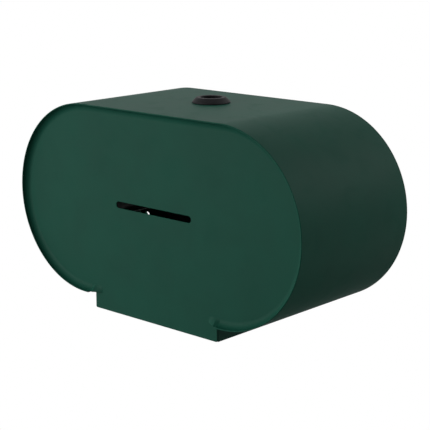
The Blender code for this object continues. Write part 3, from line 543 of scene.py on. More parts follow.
def green_coat(look):
    """Satin powder coat: orange peel about a millimetre across, a faint uneven tone, finger
    marks that change the gloss, and a thinner, paler coat along the edges."""
    made = Finish("green_powder_coat")
    thin_coat = shade(look.coat_colour, 1.9)
    peel = made.grain(1.3 * MM, 2.0, 0.45)
    speck = made.grain(0.35 * MM, 1.0, 0.5)
    cloud = made.grain(38 * MM, 3.0, 0.5)
    marks = made.between(made.grain(16 * MM, 4.0, 0.6, 0.6), 0.5, 0.68)
    dust = made.between(made.cells(2.6 * MM), 0.10, 0.05)
    dust = dust * made.between(made.grain(9 * MM, 2.0), 0.52, 0.66)
    tone = made.clouded(cloud, look.coat_colour, 0.93, 1.06)
    tone = made.blend(made.between(speck, 0.35, 0.75, 0.0, 0.12), tone, thin_coat)
    tone = made.blend(made.worn_edge() * 0.12, tone, thin_coat)
    tone = made.blend(dust * 0.05, tone, (0.16, 0.17, 0.16, 1.0))
    rough = look.coat_roughness + 0.03 * (cloud - 0.5) + 0.03 * marks + 0.06 * (speck - 0.5)
    normal = made.relief(peel, look.peel_depth)
    normal = made.relief(speck, look.peel_depth * 0.2, normal)
    return made.done(tone, rough, normal, {"Specular IOR Level": look.coat_gloss})


def black_plastic(look):
    """Moulded black plastic: a fine spark texture, faint flow lines and scuffed edges."""
    made = Finish("black_moulded_plastic")
    spark = made.grain(0.28 * MM, 2.0, 0.55)
    flow = made.grain(3.0 * MM, 3.0, 0.5, 1.2, made.stretched((1.0, 1.0, 4.0)))
    scuff = made.between(made.grain(1.1 * MM, 4.0, 0.65), 0.55, 0.72)
    tone = made.clouded(flow, look.black_colour, 0.85, 1.2)
    tone = made.blend(made.worn_edge() * (0.06 + 0.2 * scuff), tone, (0.10, 0.10, 0.10, 1.0))
    rough = look.black_roughness + 0.08 * (flow - 0.5) + 0.10 * scuff + 0.05 * (spark - 0.5)
    return made.done(tone, rough, made.relief(spark, 0.004 * MM), {"Specular IOR Level": 0.12})


def grey_plastic(look):
    """Dark grey moulded plastic: a coarser matt texture, sink clouds and paper dust."""
    made = Finish("dark_grey_moulded_plastic")
    spark = made.grain(0.5 * MM, 3.0, 0.6)
    cloud = made.grain(14 * MM, 3.0, 0.5)
    rub = made.grain(4.5 * MM, 4.0, 0.65, 0.5, made.stretched((1.0, 0.3, 1.0)))
    rub = made.between(rub, 0.52, 0.7)
    dust = made.between(made.grain(1.4 * MM, 5.0, 0.7), 0.58, 0.74)
    tone = made.clouded(cloud, look.grey_colour, 0.88, 1.14)
    tone = made.blend(rub * 0.18 + dust * 0.12, tone, (0.14, 0.14, 0.135, 1.0))
    tone = made.blend(made.worn_edge() * 0.25, tone, (0.13, 0.13, 0.13, 1.0))
    rough = look.grey_roughness + 0.08 * dust - 0.10 * rub + 0.05 * (spark - 0.5)
    return made.done(tone, rough, made.relief(spark, 0.01 * MM), {"Specular IOR Level": 0.25})


def zinc_steel(look):
    """Zinc plate on rolled steel: rolling lines, dull clouds, small pits and bright edges."""
    made = Finish("zinc_plated_steel")
    lines = made.grain(0.5 * MM, 3.0, 0.6, 0.0, made.stretched((1.0, 1.0, 0.03)))
    cloud = made.grain(7 * MM, 4.0, 0.55, 0.4)
    pits = made.between(made.cells(0.9 * MM), 0.14, 0.06)
    stain = made.between(made.grain(11 * MM, 4.0, 0.6, 0.8), 0.54, 0.7)
    tone = made.clouded(cloud, look.zinc_colour, 0.84, 1.08)
    tone = made.blend(stain * 0.22, tone, (0.42, 0.40, 0.30, 1.0))
    tone = made.blend(pits * 0.25, tone, shade(look.zinc_colour, 0.6))
    tone = made.blend(made.worn_edge() * 0.5, tone, shade(look.zinc_colour, 1.4))
    rough = look.zinc_roughness + 0.10 * (cloud - 0.5) + 0.12 * (lines - 0.5) + 0.10 * stain
    normal = made.relief(lines, 0.003 * MM)
    normal = made.relief(pits, -0.01 * MM, normal)
    return made.done(tone, rough - 0.06 * made.worn_edge(), normal, {"Metallic": 1.0})


def spring_steel(look):
    """Tempered spring steel: grinding lines round the ring and straw to blue temper colours."""
    made = Finish("tempered_spring_steel")
    lines = made.grain(0.35 * MM, 3.0, 0.6, 0.0, made.stretched((1.0, 0.05, 1.0)))
    temper = made.grain(5 * MM, 3.0, 0.5, 0.6)
    tone = made.blend(made.between(temper, 0.35, 0.65), (0.36, 0.30, 0.22, 1.0), (0.20, 0.23, 0.30, 1.0))
    tone = made.blend(0.6, look.spring_colour, tone)
    tone = made.blend(made.worn_edge() * 0.4, tone, (0.6, 0.6, 0.6, 1.0))
    rough = look.spring_roughness + 0.14 * (lines - 0.5) + 0.08 * (temper - 0.5)
    return made.done(tone, rough, made.relief(lines, 0.003 * MM), {"Metallic": 1.0})


MAKERS = {maker.__name__: maker for maker in
          (green_coat, black_plastic, grey_plastic, zinc_steel, spring_steel)}
MADE = {}


def finish_for(slot):
    """The finish of a slot, made when it is first asked for."""
    if slot not in MADE:
        MADE[slot] = MAKERS[slot](bpy.context.scene.dispenser_finishes)
    return MADE[slot]


# Sizes and colours that a user would change

def number(name, description, default, **limits):
    """A plain number, or one of the kind that its subtype gives."""
    return bpy.props.FloatProperty(name=name, description=description, default=default, **limits)


def length(name, description, default):
    """A length in metres that shows in the panel in the scene's units."""
    return number(name, description, default, min=0.0, precision=5, subtype="DISTANCE", unit="LENGTH")


def angle(name, description, degrees):
    """An angle, given here in degrees."""
    return number(name, description, math.radians(degrees), subtype="ANGLE")


def share(name, description, default):
    """A plain number from 0 to 1."""
    return number(name, description, default, min=0.0, max=1.0, subtype="FACTOR")


def count(name, description, default, least, most):
    """A whole number with its least and its most."""
    return bpy.props.IntProperty(name=name, description=description, default=default, min=least, max=most)


def tint(name, description, default):
    """A colour with alpha."""
    return bpy.props.FloatVectorProperty(name=name, description=description, default=default + (1.0,),
                                         size=4, subtype="COLOR", min=0.0, max=1.0)


class CoverSizes(bpy.types.PropertyGroup):
    """Sizes of the cover's sheet, its front and its apron."""
    sheet: length("Sheet", "Thickness of the cover's sheet", 1.0 * MM)
    edge: length("Edge radius", "Radius left by deburring and coating on the sheet's edges", 0.38 * MM)
    recess: length("Recess", "How far the front lies behind the rim", 5.0 * MM)
    crown: length("Crown", "Radius on the front edge of the sheet that wraps round", 0.46 * MM)
    rim: length("Rim", "How far the front's rim reaches outward from the flat", 5.2 * MM)
    cove: length("Cove", "Radius between the front and its rim", 5.25 * MM)
    run_out: length("Run-out", "How far the end of the cove runs out onto the apron", 8.0 * MM)
    lip_gap: length("Lip gap", "Gap between the front and the lips behind it", 0.3 * MM)
    lip_bend: length("Lip bend", "Outer radius where the sheet turns down into the lips", 3.4 * MM)
    lip_setback: length("Lip setback", "From the lobe's middle inward to the bend of a lip", 2.8 * MM)
    apron_corner: length("Apron corner", "Radius of the apron's lower corners", 1.2 * MM)
    slot_width: length("Slot width", "Width of the viewing slot", 76.5 * MM)
    slot_height: length("Slot height", "Height of the viewing slot", 5.0 * MM)
    slot_drop: length("Slot drop", "From the middle of the lobes down to the slot's middle", 0.1 * MM)


class PlateSizes(bpy.types.PropertyGroup):
    """Sizes of the pressed plate on the wall."""
    sheet: length("Sheet", "Thickness of the plate", 1.5 * MM)
    bend: length("Bend", "Outer radius where the plate turns back to the wall", 2.5 * MM)
    edge: length("Edge radius", "Radius on the plate's cut edges", 0.4 * MM)
    drop: length("Trim", "How far below the lobes' middle the plate is cut flat", 52.0 * MM)
    pad_width: length("Pad width", "Width of the pad pressed back to the wall", 48.0 * MM)
    pad_top: length("Pad top", "Top of the pad above the lobes' middle", 38.0 * MM)
    pad_bottom: length("Pad bottom", "Bottom of the pad below the lobes' middle", 44.0 * MM)
    pad_corner: length("Pad corner", "Corner radius of the pad", 7.0 * MM)
    pad_draft: length("Pad draft", "How much narrower the pad is at the wall, each side", 1.6 * MM)
    press_radius: length("Press radius", "Radius of the pad's pressed edges", 1.3 * MM)
    slot_length: length("Screw slot length", "Length of the slots for the wall screws", 14.0 * MM)
    slot_width: length("Screw slot width", "Width of the slots for the wall screws", 5.6 * MM)
    slot_inset: length("Screw slot inset", "Distance of the slots from the pad's ends", 14.0 * MM)
    corner_hole: length("Corner hole radius", "Radius of the four outer screw holes", 3.2 * MM)
    corner_angle: angle("Corner hole angle", "Angle of the outer holes", 39.5)
    corner_inset: length("Corner hole inset", "From the plate's edge to the outer holes", 6.4 * MM)


class LockSizes(bpy.types.PropertyGroup):
    """Sizes of the lock in the top of the cover."""
    bezel_top: length("Bezel top radius", "Radius of the bezel's upper edge", 11.0 * MM)
    bezel_foot: length("Bezel foot", "Height of the bezel's upright foot", 0.8 * MM)
    bezel_curve: number("Bezel curve", "How hollow the bezel's side is", 1.3, min=0.5, max=3.0)
    well: length("Key well radius", "Radius of the well for the key", 8.2 * MM)
    groove: length("Key groove radius", "Outer radius of the ring that the key enters", 5.2 * MM)
    post: length("Post radius", "Radius of the post inside the key", 2.2 * MM)
    groove_depth: length("Key groove depth", "Depth of the ring that the key enters", 3.0 * MM)
    notch: length("Notch width", "Width of the notches beside the groove", 2.6 * MM)
    notch_reach: length("Notch reach", "Distance of a notch's end from the middle", 6.9 * MM)
    nut_flats: length("Nut flats", "Width of the lock's nut across its flats", 22.0 * MM)
    edge: length("Edge radius", "Radius on the lock's moulded edges", 0.35 * MM)


class HubSizes(bpy.types.PropertyGroup):
    """Sizes of the hubs that the rolls turn on, and of their axles."""
    disc: length("Disc radius", "Radius of the disc behind a roll", 40.0 * MM)
    disc_thickness: length("Disc thickness", "Thickness of the disc", 3.0 * MM)
    tube: length("Tube radius", "Radius of the tube at the disc", 17.0 * MM)
    nose: length("Nose radius", "Radius of the tube at its nose", 16.2 * MM)
    wall: length("Wall", "Thickness of the moulding", 2.2 * MM)
    edge: length("Edge radius", "Radius on the moulding's edges", 0.45 * MM)
    fins: count("Fins", "Number of ribs that grip the core", 4, 1, 12)
    fin_reach: length("Fin reach", "Height of a rib above the tube", 2.6 * MM)
    fin_width: length("Fin width", "Width of a rib", 2.4 * MM)
    fin_ramp: length("Fin ramp", "Length of the slope at a rib's nose", 14.0 * MM)
    fin_setback: length("Fin setback", "Distance of the ribs from the nose", 6.0 * MM)
    axle: length("Axle radius", "Radius of the fixed axle", 4.0 * MM)
    collar: length("Collar radius", "Radius of the axle's collar", 9.0 * MM)
    nut_flats: length("Nut flats", "Width of the axle's nut across its flats", 13.0 * MM)
    spring_bore: length("Spring bore", "Inner radius of the brake spring", 5.2 * MM)
    spring_wave: length("Spring wave", "Height of the brake spring's waves", 0.5 * MM)
    spring_waves: count("Spring waves", "Waves round the brake spring", 3, 2, 8)


class FinishColours(bpy.types.PropertyGroup):
    """Colours and gloss of the finishes."""
    coat_colour: tint("Coat", "Powder coat", (0.0035, 0.0535, 0.034))
    coat_roughness: share("Coat roughness", "Roughness of the powder coat", 0.58)
    coat_gloss: share("Coat gloss", "Specular level of the powder coat", 0.10)
    peel_depth: length("Peel depth", "Depth of the coat's orange peel", 0.012 * MM)
    black_colour: tint("Black plastic", "Lock and washers", (0.010, 0.010, 0.011))
    black_roughness: share("Black roughness", "Roughness of the black plastic", 0.58)
    grey_colour: tint("Grey plastic", "Hubs", (0.03, 0.032, 0.033))
    grey_roughness: share("Grey roughness", "Roughness of the grey plastic", 0.5)
    zinc_colour: tint("Zinc plate", "Brackets, catch, rivets and axles", (0.55, 0.56, 0.55))
    zinc_roughness: share("Zinc roughness", "Roughness of the zinc plate", 0.34)
    spring_colour: tint("Spring steel", "Brake springs", (0.32, 0.33, 0.35))
    spring_roughness: share("Spring roughness", "Roughness of the spring steel", 0.3)


class StudioSettings(bpy.types.PropertyGroup):
    """Camera and light."""
    azimuth: angle("Azimuth", "Turn of the camera to the right of the front", 42.93)
    elevation: angle("Elevation", "Camera's angle above the horizon", 12.47)
    roll: angle("Roll", "Camera's turn about its own axis", -0.2053)
    distance: length("Distance", "Camera to the aim point", 973.1 * MM)
    aim: bpy.props.FloatVectorProperty(name="Aim", description="Point that the camera turns about",
                                       default=(0.0, -0.06084, 0.0), subtype="TRANSLATION")
    lens: number("Lens", "Focal length in millimetres", 107.64, min=10.0, max=400.0,
                 subtype="DISTANCE_CAMERA")
    shift_x: number("Shift X", "Sideways shift of the frame", 0.02344)
    shift_y: number("Shift Y", "Upward shift of the frame", -0.03588)
    key_power: number("Key", "Power of the large front light in watts", 18.4, min=0.0)
    side_power: number("Side", "Power of the light behind on the right in watts", 8.2, min=0.0)
    rear_power: number("Rear", "Power of the low light from behind in watts", 6.0, min=0.0)
    ambient: share("Ambient", "Brightness of the soft light from all round", 0.03)
    floor_depth: length("Floor depth", "From the dispenser's middle down to the floor", 1000.0 * MM)
    floor_radius: length("Floor radius", "Radius of the floor", 1700.0 * MM)
    floor_colour: tint("Floor", "Colour of the floor", (0.5, 0.5, 0.495))
    floor_paleness: share("Floor paleness", "How white the floor looks to the camera", 0.62)


GROUPS = {
    "dispenser_cover": CoverSizes,
    "dispenser_plate": PlateSizes,
    "dispenser_lock": LockSizes,
    "dispenser_hubs": HubSizes,
    "dispenser_finishes": FinishColours,
    "dispenser_studio": StudioSettings,
}


# Pieces

def mirrored(points):
    """The right half of a closed outline, then its mirror image without the two ends."""
    flip = np.array([-1, 1]) if points.ndim > 1 else 1
    return np.concatenate([points, (points * flip)[1:-1][::-1]])


def both_sides(points):
    """The right half of an open line that ends at the middle, then its mirror image."""
    return np.vstack([points, points[:-1][::-1] * np.array([-1, 1])])


def lip_x(sizes):
    """The outer face of the lips."""
    return LOBE_X - sizes.lip_setback - sizes.lip_bend


def cover_line(sizes):
    """The outer line of the wrap's sheet, from the right lip over the top to the left lip, and
    for each point whether it lies where the front edge stands back behind the apron."""
    end_x = LOBE_X - sizes.lip_setback
    bend = (end_x, -LOBE_RADIUS - sizes.lip_bend)
    step_x = end_x + LIP_STEP
    lip = np.c_[np.full(7, lip_x(sizes)), np.linspace(APRON_Z, bend[1], 7)]
    lip = np.vstack([lip, arc(bend, sizes.lip_bend, 180, 90, 10)[1:], [[step_x, -LOBE_RADIUS]]])
    lobe = np.vstack([[[step_x + MICRON, -LOBE_RADIUS]], arc((LOBE_X, 0), LOBE_RADIUS, -90, 90, ROUND_STEPS)])
    top = np.c_[np.linspace(LOBE_X, 0, 12)[1:], np.full(11, LOBE_RADIUS)]
    back = np.concatenate([np.ones(len(lip)), np.zeros(len(lobe) + len(top))])
    return both_sides(np.vstack([lip, lobe, top])), np.concatenate([back, back[:-1][::-1]])


class DISPENSER_OT_wrap(bpy.types.Operator):
    """Adds the sheet that wraps round the cover: a rounded strip carried along the outline"""
    bl_idname = "dispenser.wrap"
    bl_label = "Cover wrap"

    def execute(self, context):
        sizes = context.scene.dispenser_cover
        path, back = cover_line(sizes)
        start = np.where(back > 0, PANEL_BACK_Y + sizes.lip_gap, FRONT_Y)
        front_edge = np.where(back > 0, sizes.edge, sizes.crown)
        points, mask = strip_points(path, sizes.sheet, start, BACK_Y, STANDING, sizes.edge, front_edge)
        mesh = Surface().add(points, mask, caps=True).mesh("cover_wrap")
        pin_hole = circle_outline(PIN_HOLE, (HINGE.y, HINGE.z))
        lock_hole = circle_outline(LOCK_HOLE, LOCK.xy)
        tools = [drill(lock_hole, LOBE_RADIUS - SHALLOW, LOBE_RADIUS + SHALLOW, LYING)]
        for side in SIDES.values():
            near, far = side * (lip_x(sizes) - SHALLOW), side * (lip_x(sizes) + SHALLOW)
            tools.append(drill(pin_hole, near, far, CROSSWISE))
        add_piece("cover_sheet", carved(mesh, tools), "cover_wrap", "green_coat")
        return {"FINISHED"}


def half_panel(sizes):
    """The right half of the front's outline from the bottom up, with its outward directions,
    the matching points of the slot and theirs, and a mark where the cove runs."""
    flat = RIM_RADIUS + SEAT_GAP - sizes.rim
    apron_x = lip_x(sizes)
    corner = sizes.apron_corner
    count = 2 * QUARTER_STEPS
    bottom = np.c_[np.linspace(0, apron_x - corner, 9)[:-1], np.full(8, APRON_Z)]
    bend = arc((apron_x - corner, APRON_Z + corner), corner, -90, 0, 6)
    side = np.array([[apron_x, -flat], [apron_x + MICRON, -flat]])
    lobe = arc((LOBE_X, 0), flat, -90, 90, count)
    top = np.c_[np.linspace(LOBE_X, 0, 9)[1:], np.full(8, flat)]
    points = np.vstack([bottom, bend, side, lobe, top])
    down = np.tile([0, -1], (8, 1))
    half_turn = arc((0, 0), 1, -90, 90, count)
    out = np.vstack([down, arc((0, 0), 1, -90, 0, 6), [[1, 0], [0, -1]], half_turn, -down])
    cove = (np.arange(len(points)) > len(bottom) + len(bend)).astype(float)
    radius = sizes.slot_height / 2
    slot_x = sizes.slot_width / 2 - radius
    slot_low = np.array([slot_x, -sizes.slot_drop - radius])
    slot_bottom = np.c_[np.linspace(0, slot_x, 9)[:-1], np.full(8, slot_low[1])]
    slot_end = arc((slot_x, -sizes.slot_drop), radius, -90, 90, count)
    slot_top = np.c_[np.linspace(slot_x, 0, 9)[1:], np.full(8, radius - sizes.slot_drop)]
    slot = np.vstack([slot_bottom, np.tile(slot_low, (9, 1)), slot_end, slot_top])
    slot_out = np.vstack([down, np.tile([0, -1], (9, 1)), half_turn, -down])
    return points, out, cove, slot, slot_out


class DISPENSER_OT_front(bpy.types.Operator):
    """Adds the front: flat with its slot and apron, and a cove swept up to the rim round it"""
    bl_idname = "dispenser.front"
    bl_label = "Front panel"

    def execute(self, context):
        sizes = context.scene.dispenser_cover
        points, out, cove, slot, slot_out = [mirrored(part) for part in half_panel(sizes)]
        face = FRONT_Y + sizes.recess
        back = face + sizes.sheet
        swept, tip = self.rim_section(sizes, face)
        inset, depth, _ = edge_section(face, back, sizes.edge)
        before = (len(swept) - len(inset)) // 2
        after = len(swept) - len(inset) - before
        plain = np.pad(np.c_[-inset, depth], ((before, after), (0, 0)), mode="edge")
        section = np.where(cove[None, :, None] > 0, swept[:, None], plain[:, None])
        rows = points[None] + out[None] * section[..., :1]
        outer = np.concatenate([rows, section[..., 1:]], axis=-1)[..., STANDING]
        hole, height, hole_mask = rim_rows((slot, slot_out), back, face, sizes.edge, side=-1.0)
        inner = standing_at(hole, height, STANDING)
        mask = np.concatenate([hole_mask, tip])
        surface = Surface().add(np.concatenate([inner, outer]), mask, wrap_rows=True)
        for side in SIDES.values():
            surface.add(self.run_out(sizes, swept, back, side), caps=True)
        add_piece("front_sheet", surface.mesh("front_panel"), "front_panel", "green_coat")
        return {"FINISHED"}

    def run_out(self, sizes, swept, back, side):
        """The end of the cove beside the apron. Its first row is the cove's own section. The next
        ones replace the arc by its chord, depth = full depth * distance / rim, and shrink evenly
        until they lie inside the apron at the length of the run-out toward the middle."""
        arc_part = swept[:COVE_STEPS + 3]
        outline = np.vstack([arc_part, [[sizes.rim, back], [0, back]]])
        flat = RIM_RADIUS + SEAT_GAP - sizes.rim
        run = np.linspace(0, 1, RUN_STEPS + 1)
        full = np.concatenate([[1.0, 1.0], 1 - run])[:, None]
        x = np.concatenate([[3 * sizes.sheet, RUN_OUT_LAP], -RUN_OUT_LAP - sizes.run_out * run])
        face = arc_part[0, 1]
        chord = face - (face - arc_part[-1, 1]) * outline[:, 0] / sizes.rim - RUN_OUT_PROUD
        front = np.where(np.arange(len(x))[:, None] > 0, chord, outline[:, 1] + RUN_OUT_PROUD)
        sunk = back - 0.9 * sizes.sheet
        y = np.where(outline[:, 1] < back, sunk + (front - sunk) * full, back)
        across = np.broadcast_to((side * (lip_x(sizes) + x))[:, None], y.shape)
        return np.stack([across, y, np.broadcast_to(-flat - outline[:, 0], y.shape)], axis=-1)

    def rim_section(self, sizes, face):
        """The section from the flat outward, as distance and Y: the cove's arc of 80 degrees, the
        rim's crown and outer side, and the cove's rear arc, cut off at that side. With it comes
        a mask that is 1 on the crown."""
        cove, rim = sizes.cove, sizes.rim
        thick = cove + sizes.sheet
        centre = (0, face - cove)
        front = arc(centre, cove, 90, 10, COVE_STEPS)
        rear = arc(centre, thick, 90 - math.degrees(math.asin(rim / thick)), 90, BEND_STEPS)
        crown_y = front[-1, 1]
        crown = np.array([[rim - CROWN_INSET, crown_y - CROWN_RISE], [rim, crown_y]])
        marks = np.concatenate([np.zeros(len(front)), np.ones(2), np.zeros(len(rear))])
        return np.vstack([front, crown, rear]), marks


def pad_rows(sizes, line):
    """Rows of the pad for a section of insets and heights: its outline at each inset."""
    half = sizes.pad_width / 2
    tall = (sizes.pad_top + sizes.pad_bottom) / 2
    centre = (0, (sizes.pad_top - sizes.pad_bottom) / 2)
    corners = np.maximum(sizes.pad_corner - line[:, 0], 0.5 * MM)
    return np.stack([round_outline(half - inset, tall - inset, corner, centre)[0]
                     for inset, corner in zip(line[:, 0], corners)])


class DISPENSER_OT_plate(bpy.types.Operator):
    """Adds the pressed plate on the wall: rows over its front, round its rim and over its back"""
    bl_idname = "dispenser.plate"
    bl_label = "Back plate"

    def execute(self, context):
        sizes = context.scene.dispenser_plate
        sheet, bend, edge = sizes.sheet, sizes.bend, sizes.edge
        draft = sizes.pad_draft
        front = [(PAD_INSIDE, -sheet), (sheet + draft, -sheet), (sheet, PLATE_Y), (PAD_OUTSIDE, PLATE_Y)]
        rear = [(PAD_OUTSIDE, PLATE_Y + sheet), (-sheet * draft / PLATE_Y, PLATE_Y + sheet), (draft, 0),
                (PAD_INSIDE, 0)]
        front, rear = [rounded_line(line, sizes.press_radius, PRESS_STEPS, closed=False)[0]
                       for line in (front, rear)]
        outside, inside = PLATE_RADIUS, PLATE_RADIUS - sheet
        centre = (PLATE_RADIUS - bend, PLATE_Y + bend)
        rim = np.vstack([arc(centre, bend, -90, 0, BEND_STEPS),
                         arc((outside - edge, -edge), edge, 0, 90, EDGE_STEPS),
                         arc((inside + edge, -edge), edge, 90, 180, EDGE_STEPS),
                         arc(centre, bend - sheet, 0, -90, BEND_STEPS)])
        shell = np.stack([round_outline(LOBE_X + size, size, size)[0] for size in rim[:, 0]])
        rows = np.concatenate([pad_rows(sizes, front), shell, pad_rows(sizes, rear)])
        height = np.concatenate([front[:, 1], rim[:, 1], rear[:, 1]])
        mesh = Surface().add(standing_at(rows, height, STANDING), caps=True).mesh("back_plate")
        block = 2 * PLATE_RADIUS
        below = round_outline(block, block, MM, (0, -sizes.drop - block))
        mesh = carved(mesh, [drill(below, -THROUGH, THROUGH, STANDING)])
        top = -sizes.drop - PLATE_Y
        tongue = round_outline(BRACKET_FACE_X - RUNNING_GAP, (top - TONGUE_Z) / 2, 1.5 * MM,
                               (0, (top + TONGUE_Z) / 2))
        rows, height, mask = rim_rows(tongue, PLATE_Y, PLATE_Y + sheet, edge)
        tongue = Surface().add(standing_at(rows, height, STANDING), mask, caps=True).mesh("tongue")
        mesh = carved(mesh, [tongue], "UNION")
        mesh = carved(mesh, [drill(hole, -THROUGH, SHALLOW, STANDING) for hole in self.holes(sizes)])
        add_piece("wall_plate", mesh, "back_plate", "green_coat")
        return {"FINISHED"}

    def holes(self, sizes):
        """Outlines of the screw slots and of the round holes."""
        half, radius = sizes.slot_length / 2, sizes.slot_width / 2
        holes = [round_outline(half, radius, radius, (0, height))
                 for height in (sizes.pad_top - sizes.slot_inset, sizes.slot_inset - sizes.pad_bottom)]
        corner = (LOBE_X, 0) + (PLATE_RADIUS - sizes.corner_inset) * unit(sizes.corner_angle)[0]
        for side in SIDES.values():
            holes += [circle_outline(sizes.corner_hole, (side * corner[0], height))
                      for height in (corner[1], -corner[1])]
            holes.append(circle_outline(AXLE_HOLE, (side * LOBE_X, 0)))
        return holes + rivet_holes(RIVETS)


def rivet_holes(nodes):
    """Outlines of the holes for the given rivets."""
    return [circle_outline(PIN_HOLE, (middle(node).x, middle(node).z)) for node in nodes]


class DISPENSER_OT_lock(bpy.types.Operator):
    """Adds the lock: turned body and plug, doubler, nut, cam and its screw"""
    bl_idname = "dispenser.lock"
    bl_label = "Lock"

    def execute(self, context):
        sizes = context.scene.dispenser_lock
        height = high("lock_body").z - LOCK.z
        radius = (high("lock_body").x - low("lock_body").x) / 2
        depth = low("lock_body").z - LOCK.z
        part = np.linspace(0, 1, BEND_STEPS + 1)
        side = np.c_[sizes.bezel_top + (radius - sizes.bezel_top) * (1 - (1 - part) ** sizes.bezel_curve),
                     height - (height - sizes.bezel_foot) * part]
        barrel = sizes.well + 1.3 * MM
        stem = sizes.well - 2.0 * MM
        ledge = depth + 1.5 * MM
        body = [(sizes.well, height)] + side.tolist() + [
            (radius, RUNNING_GAP), (barrel, RUNNING_GAP), (barrel, depth), (stem, depth), (stem, ledge),
            (sizes.well, ledge)]
        add_turned("lock_barrel", "lock_body", "black_plastic", body, LOCK, "up", sizes.edge, True,
                   ROUND_STEPS)
        self.plug(sizes, ledge, stem)
        hole = circle_outline(LOCK_HOLE, LOCK.xy)
        half = (high("lock_doubler") - low("lock_doubler")) / 2
        outline = round_outline(half.x, half.y, 4 * MM, LOCK.xy)
        add_slab("doubler_plate", "lock_doubler", "zinc_steel", outline, hole, LYING, 0.3 * MM)
        outline = hex_outline(sizes.nut_flats, LOCK.xy)
        add_slab("clamp_nut", "lock_nut", "zinc_steel", outline, hole, LYING, 0.5 * MM)
        half = (high("lock_cam") - low("lock_cam")) / 2
        outline = round_outline(half.x, half.y, half.x, middle("lock_cam").xy)
        hole = circle_outline(SCREW_HOLE, LOCK.xy)
        add_slab("cam_bar", "lock_cam", "zinc_steel", outline, hole, LYING, 0.4 * MM)
        self.screw()
        return {"FINISHED"}

    def plug(self, sizes, ledge, stem):
        """The plug that the key turns, with its groove, post and notches."""
        top = high("lock_plug").z - LOCK.z
        end = low("lock_plug").z - LOCK.z
        groove = top - sizes.groove_depth
        radius = sizes.well - RUNNING_GAP
        shoulder = ledge + RUNNING_GAP
        stem = stem - RUNNING_GAP
        bore_top = low("lock_cam").z - LOCK.z + 10.2 * MM
        profile = [(0, top), (sizes.post, top), (sizes.post, groove), (sizes.groove, groove),
                   (sizes.groove, top), (radius, top), (radius, shoulder), (stem, shoulder), (stem, end),
                   (SCREW_HOLE, end), (SCREW_HOLE, bore_top), (0, bore_top)]
        half = sizes.notch / 2
        inner = sizes.groove - half
        tools = []
        for side in SIDES.values():
            centre = (side * (inner + sizes.notch_reach) / 2, LOCK.y)
            notch = round_outline((sizes.notch_reach - inner) / 2, half, 0.4 * MM, centre)
            tools.append(drill(notch, LOCK.z + groove, LOCK.z + top + SHALLOW, LYING))
        add_turned("key_plug", "lock_plug", "black_plastic", profile, LOCK, "up", sizes.edge,
                   steps=ROUND_STEPS, tools=tools)

    def screw(self):
        """The screw under the cam, with a cross recess in its head."""
        top, bottom = high("cam_screw").z, low("cam_screw").z
        head_top = low("lock_cam").z - RUNNING_GAP
        head = (high("cam_screw").x - low("cam_screw").x) / 2
        profile = [(0, top), (SCREW, top), (SCREW, head_top), (head, head_top),
                   (head, (head_top + bottom) / 2), (head / 2, bottom), (0, bottom)]
        reach, width = 1.5 * MM, 0.35 * MM
        cross = [round_outline(half, tall, 0.2 * MM, LOCK.xy)
                 for half, tall in ((reach, width), (width, reach))]
        tools = [drill(arm, bottom - 1 * MM, bottom + 1.1 * MM, LYING) for arm in cross]
        add_turned("screw_of_cam", "cam_screw", "zinc_steel", profile, (LOCK.x, LOCK.y, 0), "up", 0.4 * MM,
                   tools=tools)


class DISPENSER_OT_catch(bpy.types.Operator):
    """Adds the catch: a strip bent into a fork, with rivet holes through its foot"""
    bl_idname = "dispenser.catch"
    bl_label = "Catch"

    def execute(self, context):
        bottom, top = low("lock_catch"), high("lock_catch")
        bend, sheet, mouth = 3.0 * MM, 2.0 * MM, 14.0 * MM
        corner_x = top.x - bend
        path = both_sides(np.vstack([[[mouth, bottom.y]],
                                     arc((corner_x, bottom.y + bend), bend, -90, 0, BEND_STEPS),
                                     arc((corner_x, top.y - bend), bend, 0, 90, BEND_STEPS), [[0, top.y]]]))
        points, mask = strip_points(path, sheet, bottom.z, top.z, LYING, 0.35 * MM)
        mesh = Surface().add(points, mask, caps=True).mesh("lock_catch")
        holes = rivet_holes([node for node in RIVETS if node.startswith("catch")])
        tools = [drill(hole, top.y - 2 * sheet, top.y + sheet, STANDING) for hole in holes]
        add_piece("catch_fork", carved(mesh, tools), "lock_catch", "zinc_steel")
        return {"FINISHED"}


class DISPENSER_OT_hinges(bpy.types.Operator):
    """Adds the turned hinge pins and washers, and dresses the brackets that carry them"""
    bl_idname = "dispenser.hinges"
    bl_label = "Hinges"

    def execute(self, context):
        for label in SIDES:
            node = "hinge_pin_" + label
            near, far = reach(node, 0)
            head = high(node).z - HINGE.z
            pin = [(0, far), (head / 2, far), (head, far - PIN_HEAD / 2), (head, far - PIN_HEAD),
                   (PIN, far - PIN_HEAD), (PIN, near + PIN_HEAD), (head, near + PIN_HEAD), (head, near),
                   (0, near)]
            add_turned("pin_" + label, node, "zinc_steel", pin, HINGE, label, 0.35 * MM)
            add_ring("washer_" + label, "hinge_washer_" + label, "black_plastic", PIN_HOLE, HINGE, label)
            dress_node("hinge_bracket_" + label, "zinc_steel", 0.3 * MM)
        return {"FINISHED"}


class DISPENSER_OT_rivets(bpy.types.Operator):
    """Adds the rivets of the catch and the brackets: turned, with domed heads on both ends"""
    bl_idname = "dispenser.rivets"
    bl_label = "Rivets"

    def execute(self, context):
        for node in RIVETS:
            back, front = reach(node, 1)
            head = (high(node).x - low(node).x) / 2
            crown = arc((0, 0), 1, 90, 20, 5) * (head, RIVET_HEAD)
            drop = RIVET_HEAD - crown[:, 1]
            near, far = front - RIVET_HEAD, back + RIVET_HEAD
            profile = np.vstack([np.c_[crown[:, 0], front - drop], [(head, near), (PIN, near), (PIN, far),
                                 (head, far)], np.c_[crown[:, 0], back + drop][::-1]])
            place = (middle(node).x, 0, middle(node).z)
            add_turned("domed_" + node, node, "zinc_steel", profile, place, "front", 0.15 * MM, steps=48)
        return {"FINISHED"}


